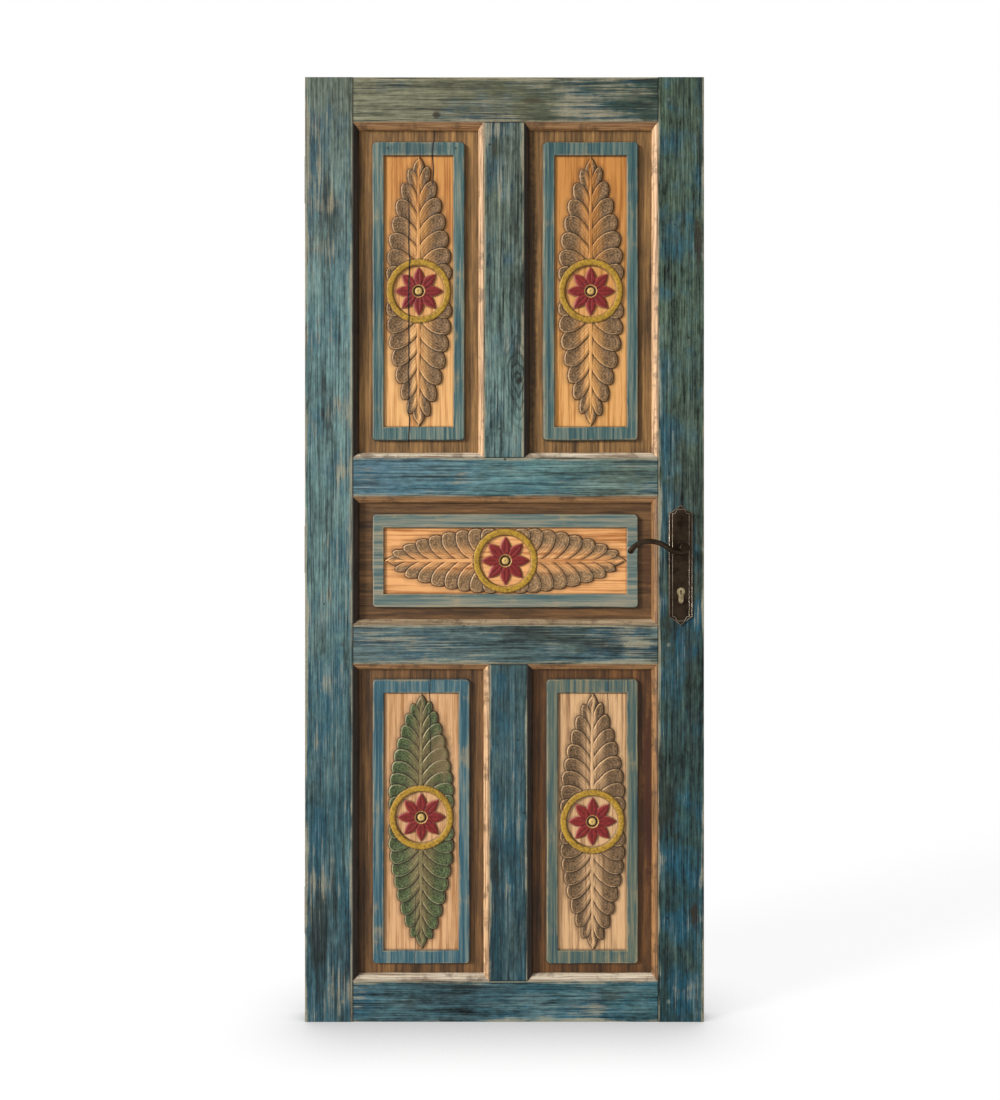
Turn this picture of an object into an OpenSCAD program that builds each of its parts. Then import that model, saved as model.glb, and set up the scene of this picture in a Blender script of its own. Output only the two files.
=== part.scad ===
// Rustic panelled door leaf: a mortised and tenoned softwood frame with five carved raised panels,
// planted mitred beads, a lever lockset with a profile cylinder, and three lift-off hinges.
// Millimetres. +Z is up, +X runs towards the lock edge and the front face looks along -Y.
// The origin is the middle of the leaf's bottom edge.

/* [Leaf] */
// Width of the leaf
leaf_w = 845; // [800:1:900]
// Height of the leaf
leaf_h = 2000; // [1980:1:2100]
// Thickness of the stiles, rails and mullions
leaf_t = 45; // [42:0.5:52]
// Chamfer worn on the long edges of the frame
arris = 1; // [0.4:0.1:2]

/* [Stiles, rails and mullions] */
// Width of the stile that carries the hinges
hinge_stile_w = 101; // [90:1:120]
// Width of the stile that holds the lock
lock_stile_w = 97; // [92:1:120]
// Height of the top rail
top_rail_h = 95; // [80:1:130]
// Height of the rail above the middle panel
upper_lock_rail_h = 82; // [76:1:110]
// Height of the rail below the middle panel
lower_lock_rail_h = 83; // [76:1:110]
// Height of the bottom rail
bottom_rail_h = 86; // [76:1:160]
// Clear height of the two lower openings
lower_opening_h = 671; // [600:1:690]
// Clear height of the middle opening
middle_opening_h = 272; // [268:1:300]
// Width of the upper mullion
upper_mullion_w = 85; // [70:1:100]
// Middle of the upper mullion, to the lock side of the leaf's middle
upper_mullion_x = -1; // [-15:1:15]
// Width of the lower mullion
lower_mullion_w = 81; // [70:1:100]
// Middle of the lower mullion, to the lock side of the leaf's middle
lower_mullion_x = 8; // [-15:1:15]

/* [Woodworking joints] */
// Width of the panel groove, which is also the thickness of the mortises
groove_w = 15; // [12:0.5:17]
// Depth of the panel groove
groove_depth = 12; // [8:0.5:14]
// Length of the rail tenons
tenon_l = 60; // [40:1:70]
// Height of the shoulder above and below each rail tenon
tenon_shoulder = 16; // [15:1:24]
// Length of the stub tenons on the mullions
stub_tenon_l = 24; // [16:1:30]
// Glue line between a tenon and its mortise
joint_gap = 0.2; // [0.1:0.05:0.4]
// Diameter of the pegs through the tenons
peg_d = 9; // [6:0.5:12]
// Middle of each peg, from the inner edge of its stile
peg_inset = 22; // [16:1:30]

/* [Panels] */
// Room for the panel to swell at the bottom of its groove
panel_play = 2; // [1:0.5:4]
// Side margin from the opening's edge to the raised border
margin_x = 41; // [36:0.5:50]
// Margin above and below the raised border of the upper panels
upper_margin_z = 38; // [32:0.5:46]
// Margin above and below the raised border of the middle panel
middle_margin_z = 36.5; // [32:0.5:40]
// Margin above and below the raised border of the lower panels
lower_margin_z = 33; // [30:0.5:44]
// Height of the raised border above the margin
raised_h = 7; // [4:0.5:9]
// Corner radius of the raised border
border_r = 8; // [2:0.5:14]
// Width of the raised border's uprights
border_x = 24; // [16:0.5:26]
// Width of the raised border's top and bottom
border_z = 29; // [20:0.5:29.5]
// Depth of the carved field below the border
field_sink = 4; // [2:0.5:6]

/* [Carving] */
// Outer radius of the ring round the flower
ring_r = 68; // [50:0.5:68.5]
// Width of the ring's band
ring_band = 13; // [8:0.5:16]
// Height of the ring above the field
ring_h = 5; // [3:0.5:7]
// Radius over the petals' tips
flower_r = 50; // [36:0.5:53]
// Number of petals
petals = 8; // [6:1:10]
// Widest part of a petal
petal_w = 17; // [12:0.5:20]
// Height of the petals above the field
petal_h = 4; // [2:0.5:6]
// Radius of the boss in the flower's middle
boss_r = 13; // [10:0.5:16]
// Lobes along each side of a leaf, its tip included
leaf_lobes = 9; // [6:1:10]
// Half the width of a leaf where it is broadest
leaf_half_w = 69; // [50:0.5:69.5]
// How far a lobe sweeps from the midrib towards the tip
lobe_sweep = 40; // [20:1:50]
// Crest of the lobes above the field
lobe_h = 4.2; // [2:0.1:5]
// Space between a leaf's tip and the border
tip_gap = 4; // [2:0.5:12]
// Rise of the lower left flower above the middle of its panel
low_left_rise = 9; // [0:1:12]

/* [Beads] */
// Width of the mitred beads
bead_w = 12; // [8:0.5:16]
// How far a bead stays below the face of the frame
bead_reveal = 0.6; // [0.3:0.1:3]
// Flat left on a bead beside the frame
bead_flat = 2; // [1:0.1:3]
// Upright edge of a bead beside the panel
bead_foot = 2; // [1:0.1:4]
// Radius of the bead's swelling face
bead_swell_r = 26; // [18:1:60]
// Room for the panel to move under a bead
bead_gap = 0.3; // [0.2:0.1:0.6]

/* [Lockset] */
// Distance from the lock edge to the lever's axis
backset = 50; // [46:0.5:52]
// Height of the lever's axis above the lower edge of the middle opening
lever_up = 163; // [150:1:175]
// Distance from the lever's axis down to the key's axis
lever_to_key = 92; // [85:1:95]
// Width of the handle plates
plate_w = 50; // [44:1:56]
// Overall height of the handle plates
plate_l = 256; // [250:1:264]
// Thickness of a plate's rim
plate_t = 2.5; // [1.5:0.1:4]
// Height of a plate's raised middle above its rim
plate_raised = 2; // [1:0.1:3]
// Middle of the plates, below the lever's axis
plate_drop = 36; // [34:1:40]
// Height of a plate's pointed ends
plate_point = 19; // [14:0.5:24]
// Distance from the leaf's face to the middle of the lever's grip
lever_reach = 42; // [36:0.5:55]
// Radius of the lever's round grip
grip_r = 5.3; // [4:0.1:6.5]
// Radius of the lever's boss
lever_boss_r = 10.5; // [9.5:0.1:13]
// Radius of the neck that turns in the plate
neck_r = 9; // [7:0.1:9.4]
// Side of the square spindle
spindle_s = 8; // [7:0.5:9]
// Running clearance of turning and sliding lock parts
run_gap = 0.08; // [0.05:0.01:0.1]
// Slack in holes and pockets cut for fixed hardware
fit_gap = 0.2; // [0.1:0.05:0.5]
// Width of the face plate in the lock edge
face_w = 22; // [20:1:24]
// Height of the face plate
face_l = 235; // [220:1:245]
// Thickness of the face plate
face_t = 3; // [2:0.5:4]
// Depth of the lock case behind the face plate
case_d = 76; // [74:0.5:78]
// Height of the lock case
case_h = 172; // [166:1:180]
// Thickness of the lock case
case_t = 15; // [14:0.5:16]
// Sheet thickness of the lock case
case_wall = 1.5; // [1:0.1:2]
// How far the latch stands out of the face plate
latch_throw = 5.5; // [5:0.5:12]
// How far the dead bolt is thrown by the key
bolt_throw = 20; // [14:0.5:21]

/* [Hinges] */
// Height of a hinge
hinge_l = 100; // [80:1:120]
// Thickness of the hinge plates
hinge_t = 2.5; // [2.2:0.1:3]
// Width of the hinge plates on the edge of the leaf
hinge_plate_w = 26; // [24:1:32]
// Gap between the leaf and the door frame
door_gap = 2; // [1.5:0.1:3]
// Radius of the hinge knuckles
knuckle_r = 6.5; // [5.5:0.1:8]
// Radius of the hinge pins
pin_r = 4; // [3:0.1:4.2]
// Clearance of a pin in its socket
pin_gap = 0.05; // [0.02:0.01:0.1]
// Middle of the top hinge, below the top of the leaf
top_hinge_drop = 210; // [160:1:260]
// Middle of the middle hinge, above the floor edge
middle_hinge_z = 1000; // [950:1:1050]
// Middle of the bottom hinge, above the floor edge
bottom_hinge_z = 230; // [160:1:280]

/* [Hidden] */
$fn = 64;
facet_fn = 32;
skin = 1;                                  // how far cutters run past the faces they cut

// places in the frame
face_y = -leaf_t / 2;
back_y = leaf_t / 2;
hinge_edge_x = -leaf_w / 2;
lock_edge_x = leaf_w / 2;
inner_l = hinge_edge_x + hinge_stile_w;
inner_r = lock_edge_x - lock_stile_w;
lower_z0 = bottom_rail_h;
lower_z1 = lower_z0 + lower_opening_h;
middle_z0 = lower_z1 + lower_lock_rail_h;
middle_z1 = middle_z0 + middle_opening_h;
upper_z0 = middle_z1 + upper_lock_rail_h;
upper_z1 = leaf_h - top_rail_h;
upper_mullion_l = upper_mullion_x - upper_mullion_w / 2;
upper_mullion_r = upper_mullion_x + upper_mullion_w / 2;
lower_mullion_l = lower_mullion_x - lower_mullion_w / 2;
lower_mullion_r = lower_mullion_x + lower_mullion_w / 2;

// each opening: name, lower left corner, upper right corner, margin above and below, rise of the flower
OPENINGS = [
    ["upper_left", [inner_l, upper_z0], [upper_mullion_l, upper_z1], upper_margin_z, 0],
    ["upper_right", [upper_mullion_r, upper_z0], [inner_r, upper_z1], upper_margin_z, 0],
    ["middle", [inner_l, middle_z0], [inner_r, middle_z1], middle_margin_z, 0],
    ["lower_left", [inner_l, lower_z0], [lower_mullion_l, lower_z1], lower_margin_z, low_left_rise],
    ["lower_right", [lower_mullion_r, lower_z0], [inner_r, lower_z1], lower_margin_z, 0],
];
// each rail: lower and upper edge
RAILS = [
    [0, lower_z0],
    [lower_z1, middle_z0],
    [middle_z1, upper_z0],
    [upper_z1, leaf_h],
];
SIDES = ["left", "top", "right", "bottom"];
HINGES = [
    ["top", leaf_h - top_hinge_drop],
    ["middle", middle_hinge_z],
    ["bottom", bottom_hinge_z],
];

// panel levels, counted forwards from the middle of the leaf
tongue_half = groove_w / 2 - joint_gap;
border_top = tongue_half + raised_h;
field_top = border_top - field_sink;

// lock layout
lock_x = lock_edge_x - backset;
lever_z = middle_z0 + lever_up;
key_z = lever_z - lever_to_key;
plate_z = lever_z - plate_drop;
face_z = plate_z - 10;
case_x1 = lock_edge_x - face_t;
case_x0 = case_x1 - case_d;
case_z0 = face_z - case_h / 2;
case_inner_t = case_t - 2 * case_wall;
plate_front = plate_t + plate_raised;
petal_root = 5;                            // where the petals start, under the boss
cylinder_r = 8.5;                          // the profile cylinder is a standard size
cylinder_drop = 24.5;
cylinder_slot_w = 10;
cylinder_proud = 1.5;
cylinder_half = leaf_t / 2 + plate_front + cylinder_proud;
plug_r = 6.5;
cam_w = 9.6;
cam_slot_w = 10.4;
cam_r = 15;
bridge_z = key_z - cylinder_drop + 3.8;    // middle of the bridge that the fixing screw enters
bridge_top = key_z - cam_r - 2;
cylinder_screw_r = 2.5;
follower_r = 14;
follower_arm_w = 10;
follower_arm_r = 22;
follower_half_t = case_inner_t / 2 - 0.4;
journal_r = 9;
latch_w = case_inner_t - 0.5;
latch_h = 26;
latch_l = 20;
latch_z = lever_z + 12;
latch_tail_z = lever_z + follower_r + 1;
latch_tail_h = 9;
latch_tail_t = 3;
latch_lug = 6;
latch_lug_gap = 3.4;
bolt_h = 34;
bolt_l = 44;
bolt_z = lever_z - 46;
talon_w = 6;
spring_r = 3;
spring_wire = 0.6;
spring_turns = 4;
spring_z = latch_tail_z + latch_tail_h / 2;
spring_y = -2.2;
spring_post_l = 3;
spring_post_x = lock_x + follower_arm_w / 2 + 3;
latch_back_x = case_x1 - latch_l;
window_gap = 0.25;
plate_screw_r = 2.5;
plate_screw_spread = plate_l / 2 - plate_point - 4;
wood_screw_r = 2.2;
wood_screw_head_r = 4.2;
wood_screw_l = 30;
face_screw_spread = (face_l + case_h) / 4;  // midway between the case and the plate's ends

// hinge layout
hinge_axis_x = hinge_edge_x - door_gap / 2;
hinge_axis_y = back_y + knuckle_r + 0.3;
hinge_hole_r = 2.5;
hinge_hole_rows = hinge_l - 40;
hinge_hole_columns = hinge_plate_w - 14;
hinge_screw_rows = hinge_l - 58;           // the leaf's screws stand clear of the door frame's screws
hinge_screw_columns = hinge_plate_w - 16;
hinge_csk = 1.2;
hinge_plate_y0 = back_y - hinge_plate_w;
hinge_hole_y = back_y - hinge_plate_w / 2;
socket_roof = 4;                           // closed end over each hinge pin

// Places children drawn flat, x across and y up, on the leaf with their height towards the front.
module facing_front(x, z, y = 0) {
    translate([x, y, z]) rotate([90, 0, 0]) children();
}

// Places children the same way as seen from behind, with their height towards the back.
module facing_back(x, z, y = 0) {
    translate([x, y, z]) mirror([0, 1, 0]) rotate([90, 0, 0]) children();
}

// A box from its two corners.
module box(low, high) {
    translate(low) cube(high - low);
}

// A round bar along one axis: "x", "y" or "z", from one end to the other.
module bar_along(axis, at, from, to, r) {
    turn = axis == "x" ? [0, 90, 0] : axis == "y" ? [-90, 0, 0] : [0, 0, 0];
    start = axis == "x" ? [from, at.x, at.y] : axis == "y" ? [at.x, from, at.y] : [at.x, at.y, from];
    translate(start) rotate(turn) cylinder(h = to - from, r = r);
}

// A countersunk screw or, with slack, the hole for it. It points along +Z with its head at the origin.
module countersunk(shank_r, head_r, length, slack = 0) {
    cylinder(h = length + slack, r = shank_r + slack);
    cylinder(h = head_r - shank_r, r1 = head_r + slack, r2 = shank_r + slack);
    if (slack > 0) translate([0, 0, -skin]) cylinder(h = skin, r = head_r + slack);
}

// Section of a frame member with its four long edges chamfered.
module softened_section(low, high) {
    polygon([
        [low.x + arris, low.y], [high.x - arris, low.y],
        [high.x, low.y + arris], [high.x, high.y - arris],
        [high.x - arris, high.y], [low.x + arris, high.y],
        [low.x, high.y - arris], [low.x, low.y + arris],
    ]);
}

module upright(x0, x1, z0, z1) {
    translate([0, 0, z0]) linear_extrude(z1 - z0) softened_section([x0, face_y], [x1, back_y]);
}

module crosspiece(x0, x1, z0, z1) {
    translate([x0, 0, 0]) rotate([90, 0, 90]) linear_extrude(x1 - x0)
        softened_section([face_y, z0], [back_y, z1]);
}

// The space that the panels and their grooves take out of the frame.
module panel_pockets() {
    for (o = OPENINGS)
        box([o[1].x - groove_depth, -groove_w / 2, o[1].y - groove_depth],
            [o[2].x + groove_depth, groove_w / 2, o[2].y + groove_depth]);
}

// The tenon at each end of a rail, or its mortise when the gap is opened.
module rail_tenons(rail, gap) {
    half_t = groove_w / 2 - joint_gap + gap;
    box([inner_l - tenon_l - gap, -half_t, rail[0] + tenon_shoulder - gap],
        [inner_r + tenon_l + gap, half_t, rail[1] - tenon_shoulder + gap]);
}

// The stub tenons above and below a mullion, or their mortises.
module stub_tenons(x0, x1, z0, z1, gap) {
    half_t = groove_w / 2 - joint_gap + gap;
    edge = groove_depth + tenon_shoulder / 2;
    box([x0 + edge - gap, -half_t, z0 - stub_tenon_l - gap],
        [x1 - edge + gap, half_t, z1 + stub_tenon_l + gap]);
}

module mullion_mortises() {
    stub_tenons(upper_mullion_l, upper_mullion_r, upper_z0, upper_z1, joint_gap);
    stub_tenons(lower_mullion_l, lower_mullion_r, lower_z0, lower_z1, joint_gap);
}

module pegs(slack) {
    for (rail = RAILS, x = [inner_l - peg_inset, inner_r + peg_inset])
        bar_along("y", [x, (rail[0] + rail[1]) / 2], face_y - slack, back_y + slack,
                  peg_d / 2 + slack / 2);
}

module joint_pegs() {
    color("#7d7a66") pegs(0);
}

module hinge_stile() {
    color("#4f6f74") difference() {
        upright(hinge_edge_x, inner_l, 0, leaf_h);
        panel_pockets();
        for (rail = RAILS) rail_tenons(rail, joint_gap);
        pegs(fit_gap);
        for (h = HINGES) {
            hinge_plate_rebate(h[1]);
            hinge_fixings(h[1], fit_gap / 2);
        }
    }
}

module lock_stile() {
    color("#44585a") difference() {
        upright(inner_r, lock_edge_x, 0, leaf_h);
        panel_pockets();
        for (rail = RAILS) rail_tenons(rail, joint_gap);
        pegs(fit_gap);
        box([case_x0 - fit_gap, -case_t / 2 - fit_gap, case_z0 - fit_gap],
            [lock_edge_x + skin, case_t / 2 + fit_gap, case_z0 + case_h + fit_gap]);
        box([case_x1, -face_w / 2 - fit_gap, face_z - face_l / 2 - fit_gap],
            [lock_edge_x + skin, face_w / 2 + fit_gap, face_z + face_l / 2 + fit_gap]);
        bar_along("y", [lock_x, lever_z], face_y - skin, back_y + skin, neck_r + fit_gap);
        facing_front(lock_x, key_z, back_y + skin) linear_extrude(leaf_t + 2 * skin)
            cylinder_outline(fit_gap);
        for (side = [-1, 1])
            bar_along("y", [lock_x, plate_z + side * plate_screw_spread], face_y - skin, back_y + skin,
                      plate_screw_r + fit_gap);
        face_plate_fixings(fit_gap / 2);
    }
}

// A rail with its tenons, cleared for the panels, pegs and mullions that it meets.
module rail(span) {
    difference() {
        union() {
            crosspiece(inner_l, inner_r, span[0], span[1]);
            rail_tenons(span, 0);
        }
        panel_pockets();
        mullion_mortises();
        pegs(fit_gap);
    }
}

module bottom_rail() { color("#415d63") rail(RAILS[0]); }
module lower_lock_rail() { color("#586663") rail(RAILS[1]); }
module upper_lock_rail() { color("#587271") rail(RAILS[2]); }
module top_rail() { color("#636858") rail(RAILS[3]); }

module mullion(x0, x1, z0, z1) {
    difference() {
        union() {
            upright(x0, x1, z0, z1);
            stub_tenons(x0, x1, z0, z1, 0);
        }
        panel_pockets();
    }
}

module upper_mullion() {
    color("#5a6962") mullion(upper_mullion_l, upper_mullion_r, upper_z0, upper_z1);
}

module lower_mullion() {
    color("#3c5358") mullion(lower_mullion_l, lower_mullion_r, lower_z0, lower_z1);
}

// A flat rectangle with round corners about its own middle.
module rounded_rectangle(size, r) {
    square([size.x - 2 * r, size.y], center = true);
    square([size.x, size.y - 2 * r], center = true);
    for (x = [-1, 1], y = [-1, 1])
        translate([x * (size.x / 2 - r), y * (size.y / 2 - r)]) circle(r);
}

// The plain raised board of a panel with its sunk field.
module panel_board(o) {
    opening = o[2] - o[1];
    border = opening - 2 * [margin_x, o[3]];
    field = border - 2 * [border_x, border_z];
    board = opening + 2 * (groove_depth - panel_play) * [1, 1];
    difference() {
        union() {
            color("#6e5238") translate([0, 0, -tongue_half]) linear_extrude(2 * tongue_half)
                square(board, center = true);
            color("#60746d") linear_extrude(border_top) rounded_rectangle(border, border_r);
        }
        color("#cb9a68") translate([0, 0, field_top]) linear_extrude(field_sink + skin)
            square(field, center = true);
    }
}

// The ring that frames the flower.
module carved_ring() {
    soft = 1.2;
    color("#b6822e") rotate_extrude() polygon([
        [ring_r - ring_band, field_top - 1.5 * skin], [ring_r, field_top - 1.5 * skin],
        [ring_r, field_top + ring_h - soft], [ring_r - soft, field_top + ring_h],
        [ring_r - ring_band + soft, field_top + ring_h],
        [ring_r - ring_band, field_top + ring_h - soft],
    ]);
}

// One petal's outline, pointing along +X: the lens where two circles overlap.
module petal_outline() {
    half_l = (flower_r - petal_root) / 2;
    half_w = petal_w / 2;
    r = (half_l * half_l + half_w * half_w) / petal_w;
    intersection() {
        translate([petal_root + half_l, half_w - r]) circle(r);
        translate([petal_root + half_l, r - half_w]) circle(r);
    }
}

// The flower: pointed petals, each with a gouged middle, round a turned boss.
module carved_flower() {
    gouge = 1.6;
    crown = field_top + petal_h;
    color("#8a3628") for (k = [0 : petals - 1]) rotate(k * 360 / petals) difference() {
        translate([0, 0, field_top - 2 * skin]) linear_extrude(petal_h + 2 * skin) petal_outline();
        translate([0, 0, crown]) rotate([45, 0, 0]) translate([0, -gouge, -gouge])
            cube([flower_r - 6, 2 * gouge, 2 * gouge]);
    }
    color("#b08a3e") rotate_extrude() polygon([
        [0, field_top - 2.5 * skin], [boss_r, field_top - 2.5 * skin], [boss_r, crown + 0.6],
        [boss_r - 2, crown + 1.6], [boss_r - 4.5, crown + 1], [boss_r - 6, crown + 1],
        [boss_r - 7.5, crown + 2.2], [0, crown + 2.2],
    ]);
}

// A carved leaf that grows along +Y from under the ring to its tip, built lobe by lobe.
leaf_steps = 4;                            // rows across each lobe
leaf_columns = [-1, -0.75, -0.45, -0.18, 0, 0.18, 0.45, 0.75, 1];
leaf_swell = [0.4, 0.9, 1, 0.6, 0.1, 0.6, 1, 0.9, 0.4];
leaf_root = ring_r / 8;                    // the lowest lobes spring from near the flower's middle
leaf_broad = ring_r * 0.74;                // the leaf is broadest this far from the flower's middle
leaf_tip_w = 1.5;
leaf_notch = 0.16;                         // how deep the notches between lobes are cut
ring_mid = ring_r - ring_band / 2;

// Half the leaf's width at a distance from the flower's middle: a parabola that closes at the tip.
function leaf_width(along, length) =
    let (u = max(0, (along - leaf_broad) / (length - leaf_broad)))
    leaf_tip_w + (leaf_half_w - leaf_tip_w) * max(0, 1 - u * u);

// Moves what would lie inside the ring outwards until it is hidden under the ring's band.
function under_ring(p) =
    let (r = norm(p), hidden = ring_band / 3 * (ring_mid - r) / (ring_mid - leaf_root))
    r >= ring_mid ? p : p * (ring_mid - hidden) / r;

// A point on the leaf: s counts lobes along the midrib, column runs from edge to edge.
function leaf_point(s, column, length) =
    let (phase = abs(2 * (s - floor(s)) - 1),
         left_over = 1 - s / leaf_lobes,
         t = leaf_columns[column],
         root = leaf_root + (length - leaf_root) * s / leaf_lobes,
         sweep = lobe_sweep * pow(left_over, 0.75),
         width = leaf_width(root + sweep, length) * (1 - leaf_notch * pow(phase, 2.5) * left_over),
         crest = lobe_h * leaf_swell[column] * (1 - 0.55 * phase * phase * abs(t)),
         flat = under_ring([t * width, root + sweep * pow(abs(t), 0.65)]))
    [flat.x, flat.y, field_top + max(0.4, crest)];

module carved_leaf(length) {
    rows = leaf_lobes * leaf_steps;
    last = len(leaf_columns) - 1;
    stride = last + 1;
    top = [for (i = [0 : rows]) for (j = [0 : last]) leaf_point(i / leaf_steps, j, length)];
    rim = concat(
        [for (i = [0 : rows]) i * stride],
        [for (j = [1 : last - 1]) rows * stride + j],
        [for (i = [rows : -1 : 0]) i * stride + last],
        [for (j = [last - 1 : -1 : 1]) j]
    );
    foot = [for (k = rim) [top[k].x, top[k].y, field_top - 2.2 * skin]];
    first_foot = len(top);
    count = len(rim);
    upper = [for (i = [0 : rows - 1]) for (j = [0 : last - 1]) for (half = [0, 1])
        let (a = i * stride + j, b = a + stride)
        half == 0 ? [a, b, b + 1] : [a, b + 1, a + 1]];
    walls = [for (k = [0 : count - 1])
        let (n = (k + 1) % count)
        [rim[k], first_foot + k, first_foot + n, rim[n]]];
    under = [[for (k = [count - 1 : -1 : 0]) first_foot + k]];
    polyhedron(concat(top, foot), concat(upper, walls, under), convexity = 6);
}

// A whole panel: board, ring, flower and the two leaves along the panel's longer way.
module panel(o, leaf_colour) {
    middle = (o[1] + o[2]) / 2;
    field = o[2] - o[1] - 2 * [margin_x + border_x, o[3] + border_z];
    lying = field.x > field.y;
    half = max(field.x, field.y) / 2 - tip_gap;
    rise = o[4];
    facing_front(middle.x, middle.y) {
        panel_board(o);
        translate([0, rise]) {
            carved_ring();
            carved_flower();
            color(leaf_colour) rotate(lying ? -90 : 0) carved_leaf(half - rise);
            color(leaf_colour) rotate(lying ? 90 : 180) carved_leaf(half + rise);
        }
    }
}

// Section of a bead: x from the frame towards the panel, y up from the panel's margin.
module bead_section() {
    h = leaf_t / 2 - bead_reveal - tongue_half - bead_gap;
    chord = [bead_w - bead_flat, bead_foot - h];
    half_chord = norm(chord) / 2;
    dip = sqrt(bead_swell_r * bead_swell_r - half_chord * half_chord);
    normal = [chord.y, -chord.x] / norm(chord);
    centre = [bead_flat, h] + chord / 2 + normal * dip;
    intersection() {
        square([bead_w, h]);
        union() {
            translate(centre) circle(bead_swell_r, $fn = 128);
            polygon([[0, 0], [bead_w, 0], [bead_w, bead_foot], [bead_flat, h], [0, h]]);
        }
        square([bead_w, h]);
    }
}

// One mitred bead along the bottom of a run, with the panel towards +Y and its face towards +Z.
module bead_strip(run) {
    level = tongue_half + bead_gap;
    intersection() {
        translate([0, 0, level]) rotate([90, 0, 90]) linear_extrude(run) bead_section();
        linear_extrude(leaf_t) polygon([
            [0, 0], [run, 0], [run - bead_w - skin, bead_w + skin], [bead_w + skin, bead_w + skin],
        ]);
    }
}

module bead(o, side) {
    size = o[2] - o[1];
    color("#b98d5e") facing_front(o[1].x, o[1].y) {
        if (side == "bottom") bead_strip(size.x);
        if (side == "right") translate([size.x, 0]) rotate(90) bead_strip(size.y);
        if (side == "top") translate(size) rotate(180) bead_strip(size.x);
        if (side == "left") translate([0, size.y]) rotate(270) bead_strip(size.y);
    }
}

// Outline of a handle plate about its own middle: straight sides with a waisted point at each end.
module plate_outline(inset) {
    w = plate_w / 2 - inset;
    straight = plate_l / 2 - plate_point;
    tip = plate_l / 2 - inset * 1.4;
    shoulder = w * 0.72;
    step = inset > 0 ? 0 : 4;
    for (end = [0, 1]) mirror([0, end]) polygon([
        [-w, 0], [w, 0], [w, straight], [shoulder, straight + step],
        [shoulder * 0.55, straight + plate_point * 0.5], [0, tip],
        [-shoulder * 0.55, straight + plate_point * 0.5], [-shoulder, straight + step],
        [-w, straight],
    ]);
}

// Outline of the profile cylinder about the key's axis.
module cylinder_outline(slack) {
    circle(cylinder_r + slack);
    translate([-cylinder_slot_w / 2 - slack, -cylinder_drop + cylinder_slot_w / 2])
        square([cylinder_slot_w + 2 * slack, cylinder_drop - cylinder_slot_w / 2]);
    translate([0, -cylinder_drop + cylinder_slot_w / 2]) circle(cylinder_slot_w / 2 + slack);
}

module handle_plate() {
    inner_rim = 6.5;
    difference() {
        union() {
            linear_extrude(plate_t) plate_outline(0);
            linear_extrude(plate_t + plate_raised / 2) plate_outline(inner_rim - 1);
            linear_extrude(plate_front) plate_outline(inner_rim);
        }
        translate([0, plate_drop, -skin]) cylinder(h = plate_front + 2 * skin, r = neck_r + run_gap);
        translate([0, plate_drop - lever_to_key, -skin]) linear_extrude(plate_front + 2 * skin)
            cylinder_outline(fit_gap);
    }
}

// The front plate has blind sockets behind for the fixing screws.
module front_plate() {
    color("#332a1e") facing_front(lock_x, plate_z, face_y) difference() {
        handle_plate();
        for (side = [-1, 1]) translate([0, side * plate_screw_spread, -skin])
            cylinder(h = skin + plate_t, r = plate_screw_r + fit_gap / 2);
    }
}

// The rear plate is drilled and countersunk for the fixing screws.
module rear_plate() {
    color("#332a1e") facing_back(lock_x, plate_z, back_y) difference() {
        handle_plate();
        for (side = [-1, 1]) translate([0, side * plate_screw_spread, plate_front])
            mirror([0, 0, 1]) countersunk(plate_screw_r, plate_screw_r + 2, plate_front + skin, fit_gap / 2);
    }
}

module plate_screws() {
    color("#2b241b") for (side = [-1, 1])
        facing_back(lock_x, plate_z + side * plate_screw_spread, back_y + plate_front)
            mirror([0, 0, 1]) countersunk(plate_screw_r, plate_screw_r + 2, leaf_t + plate_front + plate_t - 0.3);
}

// A round bar of changing radius along a path. Each side is a direction across the path at that point.
module swept_bar(path, sides, radii, count) {
    last = len(path) - 1;
    along = [for (i = [0 : last]) path[min(i + 1, last)] - path[max(i - 1, 0)]];
    points = [for (i = [0 : last])
        let (across = cross(along[i], sides[i]) / norm(cross(along[i], sides[i])))
        for (k = [0 : count - 1])
            path[i] + radii[i] * (cos(360 * k / count) * sides[i] + sin(360 * k / count) * across)];
    skin_faces = [for (i = [0 : last - 1]) for (k = [0 : count - 1]) for (half = [0, 1])
        let (a = i * count + k, b = i * count + (k + 1) % count)
        half == 0 ? [a, a + count, b + count] : [a, b + count, b]];
    first_end = [for (k = [0 : count - 1]) k];
    last_end = [for (k = [count - 1 : -1 : 0]) last * count + k];
    polyhedron(points, concat(skin_faces, [first_end], [last_end]), convexity = 4);
}

// The lever's grip as three arcs, flat on the page and to the left of the boss: a dip, a hill and a curl.
grip_slope = 38;                           // steepest slope of the grip, in degrees
dip_r = 42;
hill_r = 65;
curl_r = 44;
curl_turn = 57;
dip = [-8, -8.5];
bend = dip + dip_r * [-sin(grip_slope), 1 - cos(grip_slope)];
peak = bend + hill_r * [-sin(grip_slope), 1 - cos(grip_slope)];
grip_steps = 8;
grip_path = concat(
    [for (i = [0 : grip_steps])
        let (a = -14 + (grip_slope + 14) * i / grip_steps)
        [dip.x - dip_r * sin(a), dip.y + dip_r * (1 - cos(a)), 0]],
    [for (i = [1 : grip_steps])
        let (a = grip_slope * (1 - i / grip_steps))
        [peak.x + hill_r * sin(a), peak.y - hill_r * (1 - cos(a)), 0]],
    [for (i = [1 : grip_steps])
        let (a = curl_turn * i / grip_steps)
        [peak.x - curl_r * sin(a), peak.y - curl_r * (1 - cos(a)), 0]]
);
grip_radii = [for (i = [0 : len(grip_path) - 1])
    let (left = len(grip_path) - 1 - i)
    left == 0 ? grip_r * 0.6 : left < 3 ? grip_r * 1.12 : grip_r];

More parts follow.
